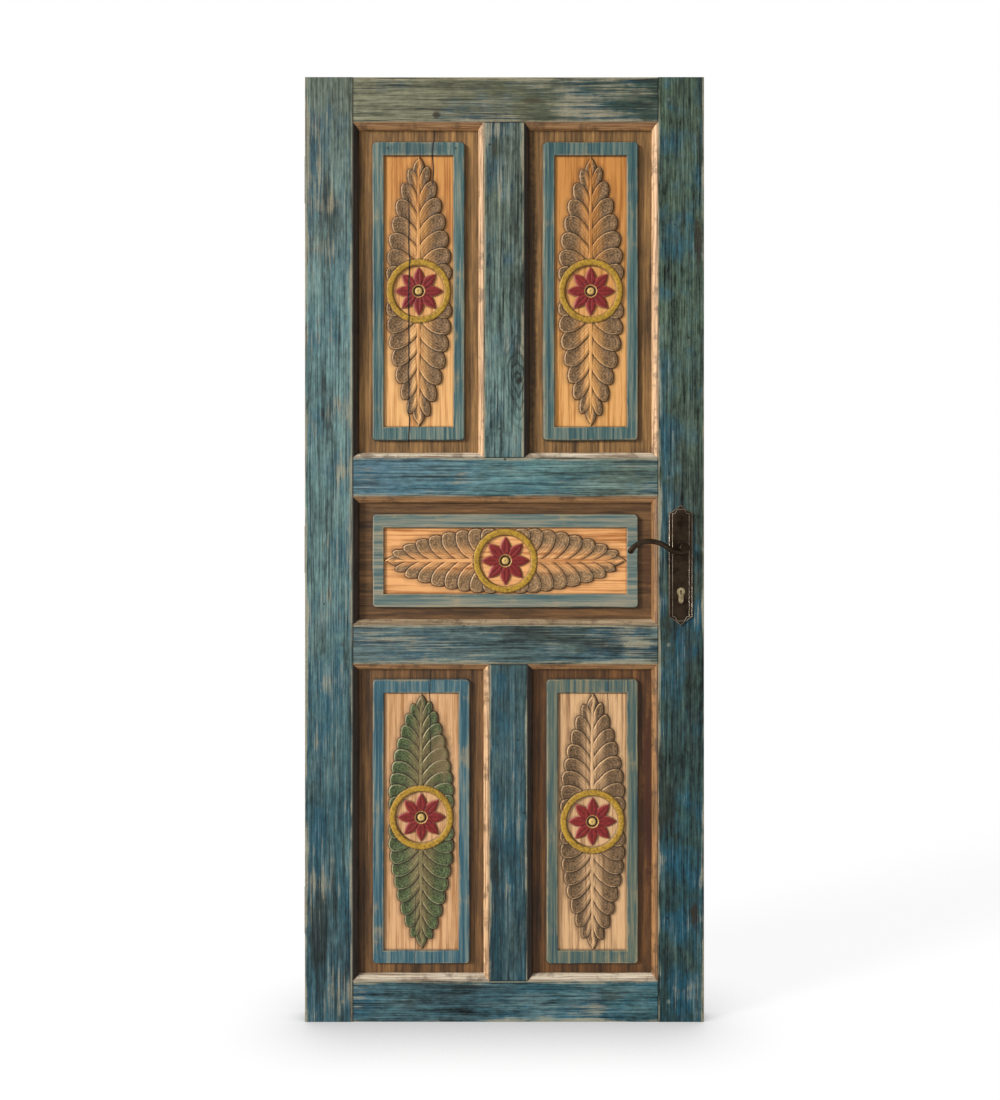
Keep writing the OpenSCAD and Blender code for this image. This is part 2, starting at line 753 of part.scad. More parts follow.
// A lever with its neck, drawn flat: x across the leaf and z out from its face.
module lever() {
    difference() {
        union() {
            translate([0, 0, -plate_t]) cylinder(h = lever_reach + plate_t, r = neck_r);
            translate([0, 0, lever_reach - grip_r - 1.5]) cylinder(h = 2 * grip_r + 3, r = lever_boss_r);
            translate([0, 0, lever_reach])
                swept_bar(grip_path, [for (p = grip_path) [0, 0, 1]], grip_radii, 12);
        }
        translate([0, 0, -plate_t - skin])
            linear_extrude(lever_reach - grip_r + plate_t) square(spindle_s + 2 * run_gap, center = true);
    }
}

module front_lever() { color("#3c2714") facing_front(lock_x, lever_z, face_y) lever(); }
module rear_lever() { color("#3c2714") facing_back(lock_x, lever_z, back_y) lever(); }

module spindle() {
    half_l = leaf_t / 2 + lever_reach - grip_r - skin - 1;
    color("#6b6459") translate([lock_x, 0, lever_z]) cube([spindle_s, 2 * half_l, spindle_s], center = true);
}

// The hub that the spindle turns: two journals, a disc and the arm that draws the latch back.
module follower() {
    color("#8a8478") difference() {
        union() {
            bar_along("y", [lock_x, lever_z], -case_t / 2, case_t / 2, journal_r);
            bar_along("y", [lock_x, lever_z], -follower_half_t, follower_half_t, follower_r);
            box([lock_x - follower_arm_w / 2, -follower_half_t, lever_z],
                [lock_x + follower_arm_w / 2, follower_half_t - latch_tail_t - 0.6, lever_z + follower_arm_r]);
        }
        translate([lock_x, 0, lever_z])
            cube([spindle_s + 2 * run_gap, case_t + 2 * skin, spindle_s + 2 * run_gap], center = true);
    }
}

// Sheet steel tray of the lock, open at the back, with a post for the latch spring.
module lock_case() {
    inner_y = case_t / 2 - case_wall;
    color("#9a958a") difference() {
        union() {
            difference() {
                box([case_x0, -case_t / 2, case_z0], [case_x1, inner_y, case_z0 + case_h]);
                box([case_x0 + case_wall, -inner_y, case_z0 + case_wall],
                    [case_x1 - case_wall, case_t / 2, case_z0 + case_h - case_wall]);
            }
            box([spring_post_x, -inner_y - case_wall / 2, spring_z - spring_r],
                [spring_post_x + spring_post_l, spring_y + spring_r, spring_z + spring_r]);
        }
        lock_sheet_holes();
        latch_window();
        bolt_window();
        bar_along("x", [0, bridge_z], case_x1 - 2 * case_wall, case_x1 + skin, cylinder_screw_r + fit_gap);
    }
}

module lock_cover() {
    color("#8f8a80") difference() {
        box([case_x0, case_t / 2 - case_wall, case_z0], [case_x1, case_t / 2, case_z0 + case_h]);
        lock_sheet_holes();
    }
}

// Holes through both sides of the case for the follower's journals and the cylinder.
module lock_sheet_holes() {
    bar_along("y", [lock_x, lever_z], -case_t, case_t, journal_r + run_gap);
    facing_front(lock_x, key_z, case_t) linear_extrude(2 * case_t) cylinder_outline(fit_gap);
}

module latch_window() {
    box([case_x1 - 2 * case_wall, -latch_w / 2 - window_gap, latch_z - latch_h / 2 - window_gap],
        [lock_edge_x + skin, latch_w / 2 + window_gap, latch_z + latch_h / 2 + window_gap]);
}

module bolt_window() {
    box([case_x1 - 2 * case_wall, -latch_w / 2 - window_gap, bolt_z - bolt_h / 2 - window_gap],
        [lock_edge_x + skin, latch_w / 2 + window_gap, bolt_z + bolt_h / 2 + window_gap]);
}

// The two wood screws that hold the face plate, or their holes.
module face_plate_fixings(slack) {
    for (side = [-1, 1])
        translate([lock_edge_x, 0, face_z + side * face_screw_spread]) rotate([0, -90, 0])
            countersunk(wood_screw_r, wood_screw_head_r, wood_screw_l, slack);
}

module face_plate() {
    color("#8b7a55") difference() {
        box([case_x1, -face_w / 2, face_z - face_l / 2], [lock_edge_x, face_w / 2, face_z + face_l / 2]);
        latch_window();
        bolt_window();
        face_plate_fixings(fit_gap / 2);
        cylinder_fixing(fit_gap / 2);
    }
}

module face_plate_screws() {
    color("#6f6449") face_plate_fixings(0);
}

// The long screw from the face plate into the cylinder's bridge, or its hole.
module cylinder_fixing(slack) {
    translate([lock_edge_x, 0, bridge_z]) rotate([0, -90, 0])
        countersunk(cylinder_screw_r, cylinder_screw_r + 2, backset + cylinder_slot_w / 2 - 1, slack);
}

module cylinder_screw() {
    color("#6f6449") cylinder_fixing(0);
}

// Body of the profile cylinder: a bored bar with a gap at its middle for the cam.
module cylinder_body() {
    color("#a8987a") difference() {
        facing_front(lock_x, key_z, cylinder_half) linear_extrude(2 * cylinder_half) cylinder_outline(0);
        bar_along("y", [lock_x, key_z], -cylinder_half - skin, cylinder_half + skin, plug_r + run_gap);
        box([lock_x - cylinder_r - skin, -cam_slot_w / 2, bridge_top],
            [lock_x + cylinder_r + skin, cam_slot_w / 2, key_z + cylinder_r + skin]);
        cylinder_fixing(fit_gap / 4);
    }
}

// One half of the cylinder's core with its keyway, from the cam out to the face.
module key_plug(inner) {
    keyway_w = 2.4;
    keyway_h = 8.4;
    difference() {
        translate([0, 0, inner]) cylinder(h = cylinder_half - inner, r = plug_r);
        translate([-keyway_w / 2, -plug_r + 1.2, inner + 4]) cube([keyway_w, keyway_h, cylinder_half]);
        translate([0, 1.2, inner + 4]) cylinder(h = cylinder_half, r = keyway_w * 0.8);
    }
}

module front_key_plug() { color("#b7a888") facing_front(lock_x, key_z) key_plug(cam_w / 2); }
module rear_key_plug() { color("#b7a888") facing_back(lock_x, key_z) key_plug(cam_slot_w / 2 - 0.1); }

// The cam between the two plugs: a ring with one tooth, hanging down at rest.
module cylinder_cam() {
    tooth_w = 7;
    color("#8c8270") {
        bar_along("y", [lock_x, key_z], -cam_w / 2, cam_w / 2, cylinder_r - 0.6);
        box([lock_x - tooth_w / 2, -cam_w / 2, key_z - cam_r + 0.5], [lock_x + tooth_w / 2, cam_w / 2, key_z]);
    }
}

// The bevelled latch with the tail and lug that the follower's arm draws back.
module latch_bolt() {
    nose_x = lock_edge_x + latch_throw;
    half_w = latch_w / 2;
    lug_x = lock_x - follower_arm_w / 2 - latch_lug_gap;
    tail_y = follower_half_t - latch_tail_t;
    color("#9c8f6e") {
        translate([0, 0, latch_z - latch_h / 2]) linear_extrude(latch_h) polygon([
            [latch_back_x, -half_w], [lock_edge_x, -half_w], [nose_x, half_w - 2.5], [nose_x, half_w],
            [latch_back_x, half_w],
        ]);
        box([lug_x - latch_lug, tail_y, latch_tail_z],
            [latch_back_x + skin, follower_half_t, latch_tail_z + latch_tail_h]);
        box([lug_x - latch_lug, -follower_half_t, latch_tail_z],
            [lug_x, follower_half_t, latch_tail_z + latch_tail_h]);
    }
}

// The coil that pushes the latch out, between its post and the back of the latch.
module latch_spring() {
    from = spring_post_x + spring_post_l + spring_wire;
    length = latch_back_x - spring_wire - from;
    steps = spring_turns * 8;
    coil_r = spring_r - spring_wire;
    path = [for (i = [0 : steps])
        let (a = 360 * spring_turns * i / steps)
        [from + length * i / steps, spring_y + coil_r * cos(a), spring_z + coil_r * sin(a)]];
    sides = [for (i = [0 : steps])
        let (a = 360 * spring_turns * i / steps)
        [0, cos(a), sin(a)]];
    color("#77736a") swept_bar(path, sides, [for (i = [0 : steps]) spring_wire], 6);
}

// The dead bolt with two talons hanging towards the cam.
module dead_bolt() {
    half_w = latch_w / 2;
    back = lock_edge_x - bolt_l;
    color("#9c8f6e") {
        box([back, -half_w, bolt_z - bolt_h / 2], [lock_edge_x, half_w, bolt_z + bolt_h / 2]);
        for (x = [back, back + 2 * talon_w])
            box([x, -half_w, key_z + cam_r + 2], [x + talon_w, half_w, bolt_z]);
    }
}

// The shallow rebate in the hinge stile's edge that a hinge plate lies in.
module hinge_plate_rebate(z) {
    box([hinge_edge_x - skin, hinge_plate_y0 - fit_gap, z - hinge_l / 2 - fit_gap],
        [hinge_edge_x + hinge_t, back_y + skin, z + hinge_l / 2 + fit_gap]);
}

// The four screws of a hinge plate on the leaf, or their holes.
module hinge_fixings(z, slack) {
    for (y = [-1, 1], row = [-1, 1])
        translate([hinge_edge_x, hinge_hole_y + y * hinge_screw_columns / 2, z + row * hinge_screw_rows / 2])
            rotate([0, 90, 0])
                countersunk(hinge_hole_r - fit_gap, hinge_hole_r - fit_gap + hinge_csk, wood_screw_l, slack);
}

module hinge_screws() {
    color("#6f6a60") for (h = HINGES) hinge_fixings(h[1], 0);
}

// Half a hinge on the leaf: a plate and the upper knuckle, closed over the pin.
module hinge_socket(z) {
    color("#6a645a") difference() {
        union() {
            box([hinge_edge_x, hinge_plate_y0, z - hinge_l / 2], [hinge_edge_x + hinge_t, back_y - 0.1, z + hinge_l / 2]);
            box([hinge_edge_x, back_y - skin, z], [hinge_edge_x + hinge_t, hinge_axis_y, z + hinge_l / 2]);
            bar_along("z", [hinge_axis_x, hinge_axis_y], z, z + hinge_l / 2, knuckle_r);
        }
        bar_along("z", [hinge_axis_x, hinge_axis_y], z - skin, z + hinge_l / 2 - socket_roof, pin_r + pin_gap);
        hinge_fixings(z, fit_gap / 2);
    }
}

// Half a hinge for the door frame: a plate drilled for screws, the lower knuckle and its pin.
module hinge_frame_half(z) {
    plate_x1 = hinge_edge_x - door_gap;
    color("#6a645a") difference() {
        union() {
            box([plate_x1 - hinge_t, hinge_plate_y0, z - hinge_l / 2], [plate_x1, back_y - 0.1, z + hinge_l / 2]);
            box([plate_x1 - hinge_t, back_y - skin, z - hinge_l / 2], [plate_x1, hinge_axis_y, z]);
            bar_along("z", [hinge_axis_x, hinge_axis_y], z - hinge_l / 2, z, knuckle_r);
            bar_along("z", [hinge_axis_x, hinge_axis_y], z - skin, z + hinge_l / 2 - socket_roof - 1, pin_r);
        }
        for (y = [-1, 1], row = [-1, 1])
            translate([plate_x1, hinge_hole_y + y * hinge_hole_columns / 2, z + row * hinge_hole_rows / 2])
                rotate([0, -90, 0])
                    countersunk(hinge_hole_r, hinge_hole_r + hinge_csk, hinge_t + skin);
    }
}

hinge_stile();
lock_stile();
top_rail();
upper_lock_rail();
lower_lock_rail();
bottom_rail();
upper_mullion();
lower_mullion();
joint_pegs();
for (o = OPENINGS)
    panel(o, o[0] == "lower_left" ? "#616542" : "#a67544");
for (o = OPENINGS, side = SIDES)
    bead(o, side);
front_plate();
rear_plate();
plate_screws();
lock_case();
lock_cover();
face_plate();
face_plate_screws();
cylinder_body();
cylinder_screw();
front_key_plug();
cylinder_cam();
rear_key_plug();
front_lever();
rear_lever();
spindle();
follower();
latch_bolt();
latch_spring();
dead_bolt();
hinge_screws();
for (h = HINGES)
    hinge_socket(h[1]);
for (h = HINGES)
    hinge_frame_half(h[1]);
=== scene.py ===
"""Looks for a weathered blue panelled door leaf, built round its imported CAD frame.

Every length in the dataclasses is in millimetres, in the frame of the part: +X towards the lock edge, +Y away
from the carved face, +Z up, with the origin in the middle of the leaf's bottom edge.
"""

from __future__ import annotations

import logging
import math
from dataclasses import dataclass
from enum import Enum

import bpy
import numpy as np
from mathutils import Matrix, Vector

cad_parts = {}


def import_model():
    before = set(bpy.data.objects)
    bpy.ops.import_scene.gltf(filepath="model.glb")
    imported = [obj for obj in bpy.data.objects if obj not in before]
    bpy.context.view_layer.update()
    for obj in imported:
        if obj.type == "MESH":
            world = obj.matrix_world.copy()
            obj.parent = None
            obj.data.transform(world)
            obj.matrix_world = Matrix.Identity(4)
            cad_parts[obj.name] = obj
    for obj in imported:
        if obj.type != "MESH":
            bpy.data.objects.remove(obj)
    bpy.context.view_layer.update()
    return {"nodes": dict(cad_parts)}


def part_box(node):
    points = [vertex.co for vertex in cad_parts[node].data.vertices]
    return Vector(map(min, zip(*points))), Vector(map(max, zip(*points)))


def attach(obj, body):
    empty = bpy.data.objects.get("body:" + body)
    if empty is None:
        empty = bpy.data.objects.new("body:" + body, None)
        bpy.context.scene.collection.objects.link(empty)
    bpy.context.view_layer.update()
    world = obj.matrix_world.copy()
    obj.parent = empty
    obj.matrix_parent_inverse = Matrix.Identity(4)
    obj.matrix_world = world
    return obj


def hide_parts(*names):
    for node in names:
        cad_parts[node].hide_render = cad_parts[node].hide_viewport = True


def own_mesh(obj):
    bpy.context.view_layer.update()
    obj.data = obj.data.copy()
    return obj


LOG = logging.getLogger("door")
MM = 0.001
WHITE = (1.0, 1.0, 1.0, 1.0)

# the leaf's half width, height and front face, the ends of its rails, and the axis of its levers
HALF_W = 422.5
LEAF_H = 2000.0
FACE = 22.5
RAIL_ENDS = (-321.5, 325.5)
SPINDLE_X = 372.5

# the heights between which old oil starts to show on the upper panels and is at its darkest
OILED = (1430.0, 1780.0)

Socket = bpy.types.NodeSocket
Value = bpy.types.NodeSocket | float
Colour = bpy.types.NodeSocket | str
Inputs = dict[str | int, object]
WirePoint = tuple[float, float, float, float]


class Grain(Enum):
    """The way the wood grain runs on a piece."""

    UPRIGHT = "upright"
    LYING = "lying"

    def sized(self, across: float, depth: float, along: float) -> tuple[float, float, float]:
        """Puts a measure across the grain, one in depth and one along it in the order of X, Y and Z."""
        return (across, depth, along) if self is Grain.UPRIGHT else (along, depth, across)


@dataclass(frozen=True)
class Spot:
    """A dark knot, stain, nail hole or painted shadow on a face, at x and z, with half its width and half its
    height.
    """

    x: float
    z: float
    half_w: float
    half_h: float
    colour: str = "#2b2118"
    strength: float = 0.8


@dataclass(frozen=True)
class Knot:
    """A knot at x and z with the grain drawn round it in long rings, out to its reach across the board."""

    x: float
    z: float
    reach: float


@dataclass(frozen=True)
class Crack:
    """A drying crack along the grain: where it runs across the board, and from where to where along it."""

    across: float
    low: float
    high: float
    half_w: float = 0.7


def linear(code: str) -> tuple[float, float, float, float]:
    """Turns an sRGB hex colour into linear light.

    Args:
        code: The colour as "#rrggbb".

    Returns:
        Linear red, green and blue, and an alpha of 1.
    """
    parts = [int(code[i : i + 2], 16) / 255 for i in (1, 3, 5)]
    light = [c / 12.92 if c <= 0.04045 else ((c + 0.055) / 1.055) ** 2.4 for c in parts]
    return (light[0], light[1], light[2], 1.0)


def dress(node: bpy.types.Object, material: bpy.types.Material) -> None:
    """Gives every slot of a piece the same material."""
    if not node.material_slots:
        node.data.materials.append(material)
    for slot in node.material_slots:
        slot.material = material


@dataclass
class Shading:
    """A node tree, with short ways to add the nodes that the finishes share."""

    tree: bpy.types.NodeTree

    def plug(self, node: bpy.types.Node, values: Inputs) -> None:
        """Links sockets to a node's inputs, and sets the inputs that get plain values.

        Args:
            node: The node.
            values: Sockets and plain values, by the input's name or place.
        """
        for key, value in values.items():
            if isinstance(value, bpy.types.NodeSocket):
                self.tree.links.new(value, node.inputs[key])
            else:
                node.inputs[key].default_value = value

    def add(self, kind: str, inputs: Inputs | None = None, **settings: object) -> bpy.types.Node:
        """Adds one node.

        Args:
            kind: The node's type, such as "ShaderNodeTexNoise".
            inputs: Sockets and plain values for its inputs, by name or place.
            **settings: Properties of the node.

        Returns:
            The new node.
        """
        node = self.tree.nodes.new(kind)
        for name, value in settings.items():
            setattr(node, name, value)
        self.plug(node, inputs or {})
        return node

    def calc(self, operation: str, *values: Value) -> Socket:
        """Does one sum on up to three values.

        Args:
            operation: The sum, such as "MULTIPLY_ADD".
            *values: The values, in the sum's order.

        Returns:
            The result.
        """
        return self.add("ShaderNodeMath", dict(enumerate(values)), operation=operation).outputs[0]

    def distance(self, value: Socket, point: float) -> Socket:
        """How far a value lies from a point, without its sign."""
        return self.calc("ABSOLUTE", self.calc("SUBTRACT", value, point))

    def weighted(self, start: Value, *parts: tuple[Socket, float]) -> Socket:
        """Adds up values with weights.

        Args:
            start: What the sum starts from.
            *parts: Each value with its weight.

        Returns:
            The sum.
        """
        total = start
        for value, weight in parts:
            total = self.calc("MULTIPLY_ADD", value, weight, total)
        return total

    def remap(
        self,
        value: Socket,
        low: float,
        high: float,
        first: float = 0.0,
        last: float = 1.0,
        smooth: bool = False,
    ) -> Socket:
        """Maps a value onto another range and holds it at both ends.

        Args:
            value: The value.
            low: The value that gives the first result.
            high: The value that gives the last result.
            first: The result at low.
            last: The result at high.
            smooth: Whether the result eases in and out.

        Returns:
            The result.
        """
        inputs = {0: value, 1: low, 2: high, 3: first, 4: last}
        kind = "SMOOTHSTEP" if smooth else "LINEAR"
        return self.add("ShaderNodeMapRange", inputs, interpolation_type=kind).outputs[0]

    def ramp(self, value: Socket, *stops: tuple[float, str]) -> Socket:
        """Turns a value into a colour.

        Args:
            value: The value.
            *stops: Values with their hex colours, in rising order.

        Returns:
            The colour.
        """
        node = self.add("ShaderNodeValToRGB", {"Fac": value})
        elements = node.color_ramp.elements
        while len(elements) < len(stops):
            elements.new(0.5)
        for element, (place, code) in zip(elements, stops):
            element.position = place
            element.color = linear(code)
        return node.outputs[0]

    def mix(self, share: Value, first: Colour, second: Colour, blend: str = "MIX") -> Socket:
        """Mixes two colours, each a socket or a hex code.

        Args:
            share: The share of the second colour.
            first: The first colour.
            second: The second colour.
            blend: The way they mix.

        Returns:
            The mixed colour.
        """
        pair = [linear(c) if isinstance(c, str) else c for c in (first, second)]
        inputs = {0: share, 6: pair[0], 7: pair[1]}
        return self.add("ShaderNodeMix", inputs, data_type="RGBA", blend_type=blend).outputs[2]

    def noise(
        self,
        place: Socket,
        size: float,
        detail: float,
        rough: float = 0.5,
        bent: float = 0.0,
        w: float | None = None,
    ) -> Socket:
        """Adds noise.

        Args:
            place: Where it is read.
            size: The size of its largest features.
            detail: How many finer layers it has.
            rough: How strong the finer layers are.
            bent: How much it is distorted.
            w: The place in a fourth dimension, for a noise that differs from others at the same place.

        Returns:
            The noise.
        """
        inputs = {"Vector": place, "Scale": 1 / (size * MM), "Detail": detail}
        inputs.update({"Roughness": rough, "Distortion": bent})
        if w is None:
            return self.add("ShaderNodeTexNoise", inputs).outputs[0]
        return self.add("ShaderNodeTexNoise", {**inputs, "W": w}, noise_dimensions="4D").outputs[0]

    def seen(self) -> tuple[bpy.types.Node, Socket]:
        """Tells which rays see the studio itself.

        Returns:
            The node of the light's path, and a mask of rays from the camera, a reflection or through glass.
        """
        path = self.add("ShaderNodeLightPath")
        mask = self.calc("MAXIMUM", path.outputs["Is Camera Ray"], path.outputs["Is Glossy Ray"])
        return path, self.calc("MAXIMUM", mask, path.outputs["Is Transmission Ray"])


class Surface(Shading):
    """A new material with one Principled shader, and the marks that its finishes share."""

    def __init__(self, name: str) -> None:
        """Starts the material.

        Args:
            name: The material's name.
        """
        self.material = bpy.data.materials.new(name)
        self.material.use_nodes = True
        super().__init__(self.material.node_tree)
        self.tree.nodes.clear()
        self.shader = self.add("ShaderNodeBsdfPrincipled")
        self.output = self.add("ShaderNodeOutputMaterial", {"Surface": self.shader.outputs[0]})
        self.place = self.add("ShaderNodeTexCoord").outputs["Object"]
        axes = self.add("ShaderNodeSeparateXYZ", {0: self.place})
        self.x, self.y, self.z = axes.outputs

    def ways(self, grain: Grain) -> tuple[Socket, Socket]:
        """The places across and along the grain."""
        return (self.x, self.z) if grain is Grain.UPRIGHT else (self.z, self.x)

    def drawn(self, grain: Grain, along: float) -> Socket:
        """Squeezes the place along the grain, so that a texture on it comes out drawn along the grain.

        Args:
            grain: The way the grain runs.
            along: The scale along the grain, below 1.

        Returns:
            The squeezed place.
        """
        inputs = {"Vector": self.place, "Scale": grain.sized(1.0, 1.0, along)}
        return self.add("ShaderNodeMapping", inputs).outputs[0]

    def masks(self, layer: str) -> tuple[Socket, ...]:
        """The four masks that the mesh carries in one colour layer."""
        colour = self.add("ShaderNodeVertexColor", layer_name=layer)
        parts = self.add("ShaderNodeSeparateColor", {0: colour.outputs["Color"]})
        return (*parts.outputs[:3], colour.outputs["Alpha"])

    def around(self, x: float, z: float, size: tuple[float, float, float]) -> tuple[Socket, Socket]:
        """The place as seen from a point on the face.

        Args:
            x: The point's place across the leaf.
            z: The point's height.
            size: The scale along each axis.

        Returns:
            The scaled place from the point, and its distance.
        """
        point = (x * MM, 0.0, z * MM)
        moved = self.add("ShaderNodeVectorMath", {0: self.place, 1: point}, operation="SUBTRACT").outputs[0]
        scaled = self.add("ShaderNodeVectorMath", {0: moved, 1: size}, operation="MULTIPLY").outputs[0]
        reach = self.add("ShaderNodeVectorMath", {0: scaled}, operation="LENGTH").outputs["Value"]
        return scaled, reach

    def spotted(self, colour: Socket, spots: tuple[Spot, ...]) -> Socket:
        """Mixes spots into a colour on the front face, with edges roughened by noise.

        Args:
            colour: The colour so far.
            spots: The spots.

        Returns:
            The colour with the spots in it.
        """
        # the edges are broken by ninety bumps to the metre
        ragged = self.noise(self.place, 1000 / 90, 3.0)
        front = self.remap(self.y, 0.002, -0.002)
        for spot in spots:
            reach = self.around(spot.x, spot.z, (1 / (spot.half_w * MM), 0.0, 1 / (spot.half_h * MM)))[1]
            rough = self.calc("MULTIPLY_ADD", ragged, 1.1, reach)
            mask = self.remap(rough, 1.75, 1.05, 0.0, spot.strength, smooth=True)
            colour = self.mix(self.calc("MULTIPLY", mask, front), colour, spot.colour)
        return colour

    def knotted(self, colour: Socket, knots: tuple[Knot, ...], grain: Grain) -> Socket:
        """Darkens a colour in rings round each knot, drawn out along the grain.

        Args:
            colour: The colour so far.
            knots: The knots.
            grain: The way the grain runs.

        Returns:
            The colour with the knots in it.
        """
        for knot in knots:
            across = 1 / (knot.reach * MM)
            scaled, reach = self.around(knot.x, knot.z, grain.sized(across, 0.0, across / 3))
            stray = self.add("ShaderNodeTexNoise", {"Vector": scaled, "Scale": 2.2, "Detail": 3.0}).outputs[0]
            far = self.calc("MULTIPLY_ADD", stray, 0.55, reach)
            wave = self.calc("SINE", self.calc("MULTIPLY", far, 38.0))
            fade = self.remap(far, 0.45, 1.25, 0.8, 0.0)
            mask = self.calc("MULTIPLY", self.remap(wave, 0.1, 0.9), fade)
            colour = self.mix(mask, colour, "#1c2422")
        return colour

    def cracked(self, colour: Socket, cracks: tuple[Crack, ...], grain: Grain) -> Socket:
        """Darkens a colour in wandering cracks along the grain.

        Args:
            colour: The colour so far.
            cracks: The cracks, which don't cross.
            grain: The way the grain runs.

        Returns:
            The colour with the cracks in it.
        """
        across, along = self.ways(grain)
        sway = 0.009
        inputs = {"W": along, "Scale": 14.0, "Detail": 4.0}
        wander = self.add("ShaderNodeTexNoise", inputs, noise_dimensions="1D").outputs[0]
        moved = self.calc("MULTIPLY_ADD", wander, sway, across)
        for crack in cracks:
            middle = (crack.low + crack.high) / 2 * MM
            half = (crack.high - crack.low) / 2 * MM
            side = self.distance(moved, crack.across * MM + sway / 2)
            line = self.remap(side, crack.half_w * 0.6 * MM, crack.half_w * 1.6 * MM, 1.0, 0.0)
            ends = self.remap(self.distance(along, middle), half * 0.85, half, 1.0, 0.0)
            colour = self.mix(self.calc("MULTIPLY", line, ends), colour, "#1c120a")
        return colour

    def finish(
        self, colour: Socket, relief: Socket, strength: float, depth: float, values: Inputs
    ) -> bpy.types.Material:
        """Plugs the finish into the shader.

        Args:
            colour: The colour.
            relief: The height of the surface.
            strength: How strongly the relief shows.
            depth: How deep the relief is.
            values: The shader's other inputs by name.

        Returns:
            The finished material.
        """
        inputs = {"Strength": strength, "Distance": depth * MM, "Height": relief}
        bump = self.add("ShaderNodeBump", inputs).outputs[0]
        self.plug(self.shader, {"Base Color": colour, "Normal": bump, **values})
        return self.material


@dataclass(frozen=True)
class WornPaint:
    """Old blue casein paint brushed on planed softwood and worn through along the grain.

    It reads as matt paint in long streaks, with greyed wood showing where hands and weather took it off. Its
    tones are given by their places along the grain.
    """

    name: str
    grain: Grain
    tones: tuple[tuple[float, str], ...]
    deep: str = "#13475a"
    faded: str = "#7b8f88"
    murk: str = "#2d2f28"
    worn: str = "#b0a98c"
    bare: str = "#75644a"
    dirt: str = "#1a2122"
    wear: float = 0.5
    blue: float = 0.72
    fade: float = 0.34
    grime: float = 0.74
    contrast: float = 0.57
    brightness: float = 0.83
    middle: float = 0.0
    half_w: float = 50.0
    ends: tuple[float, ...] = ()
    knots: tuple[Knot, ...] = ()
    spots: tuple[Spot, ...] = ()

    def build(self) -> bpy.types.Material:
        """Makes the paint.

        Returns:
            The material.
        """
        paint = Surface(self.name)
        across, along = paint.ways(self.grain)
        grained = paint.drawn(self.grain, 0.024)
        brushed = paint.drawn(self.grain, 0.06)
        blotched = paint.drawn(self.grain, 0.24)
        dabbed = paint.drawn(self.grain, 0.4)
        # brush streaks about 9 mm wide, grain lines about 3 mm wide, blotches of 45 mm and patches of 120 mm
        streak = paint.noise(brushed, 9, 5.0, 0.62, bent=0.15)
        fine = paint.noise(grained, 3, 4.0, 0.7, bent=0.25)
        mottle = paint.noise(dabbed, 8, 5.0, 0.7)
        pores = paint.noise(grained, 4, 4.0, 0.7, w=7.0)
        blotch = paint.noise(blotched, 45, 6.0, 0.7)
        patch = paint.noise(paint.place, 120, 5.0, 0.6)
        speck = paint.noise(paint.place, 4, 3.0, 0.7)
        thin = paint.noise(blotched, 55, 6.0, 0.68, w=3.0)
        dull = paint.noise(blotched, 70, 6.0, 0.66, w=11.0)
        hue = self.drift(paint, along, blotch)
        pooled = paint.weighted(0.0, (patch, 0.55), (blotch, 0.36), (streak, 0.09))
        hue = paint.mix(paint.remap(pooled, 0.47, 0.58, 0.0, self.blue, smooth=True), hue, self.deep)
        # thin paint goes pale and greenish, and handled places go dull and brown
        thinned = paint.weighted(0.0, (thin, 0.82), (streak, 0.18))
        hue = paint.mix(paint.remap(thinned, 0.49, 0.62, 0.0, self.fade, smooth=True), hue, self.faded)
        dulled = paint.weighted(0.0, (dull, 0.84), (streak, 0.16))
        hue = paint.mix(paint.remap(dulled, 0.47, 0.36, 0.0, self.grime, smooth=True), hue, self.murk)
        tone = paint.weighted(-0.05, (streak, 0.20), (fine, 0.46), (mottle, 0.24), (patch, 0.20))
        dim = self.brightness - self.contrast
        bright = self.brightness + self.contrast
        shade = paint.remap(tone, 0.40, 0.60, dim, bright)
        coat = paint.mix(1.0, hue, shade, "MULTIPLY")
        # paint wears off along the grain, and first on the last 8 mm towards the arrises
        side = paint.distance(across, self.middle * MM)
        edge = paint.remap(side, (self.half_w - 8) * MM, self.half_w * MM, 0.0, 0.12)
        arris = paint.remap(paint.calc("ABSOLUTE", paint.y), 0.0185, 0.022)
        edge = paint.calc("MULTIPLY", edge, arris)
        loss = paint.weighted(edge, (fine, 0.36), (streak, 0.24), (patch, 0.40))
        start = 0.60 - 0.12 * self.wear
        mask = paint.remap(loss, start, start + 0.09, 0.0, 0.7, smooth=True)
        colour = paint.mix(mask, coat, paint.mix(speck, self.bare, self.worn))
        # grime sits in the open grain and along the joints
        grime = paint.remap(pores, 0.46, 0.36, 0.0, 0.85)
        colour = paint.mix(grime, colour, self.dirt)
        # nail heads and dents lie scattered, a few millimetres wide
        nick = paint.add("ShaderNodeTexVoronoi", {"Vector": paint.place, "Scale": 1 / 0.075})
        dent = paint.remap(nick.outputs["Distance"], 0.045, 0.025, 0.0, 0.8)
        colour = paint.mix(dent, colour, "#191815")
        for end in self.ends:
            seam = paint.remap(paint.distance(along, end * MM), 0.001, 0.0028, 0.8, 0.0)
            colour = paint.mix(seam, colour, "#151816")
        colour = paint.knotted(colour, self.knots, self.grain)
        colour = paint.spotted(colour, self.spots)
        relief = paint.weighted(0.0, (mask, -0.3), (grime, -0.4), (fine, 1.0))
        values = {"Roughness": paint.remap(mask, 0.0, 1.0, 0.62, 0.85), "Specular IOR Level": 0.14}
        return paint.finish(colour, relief, 0.5, 1.2, values)

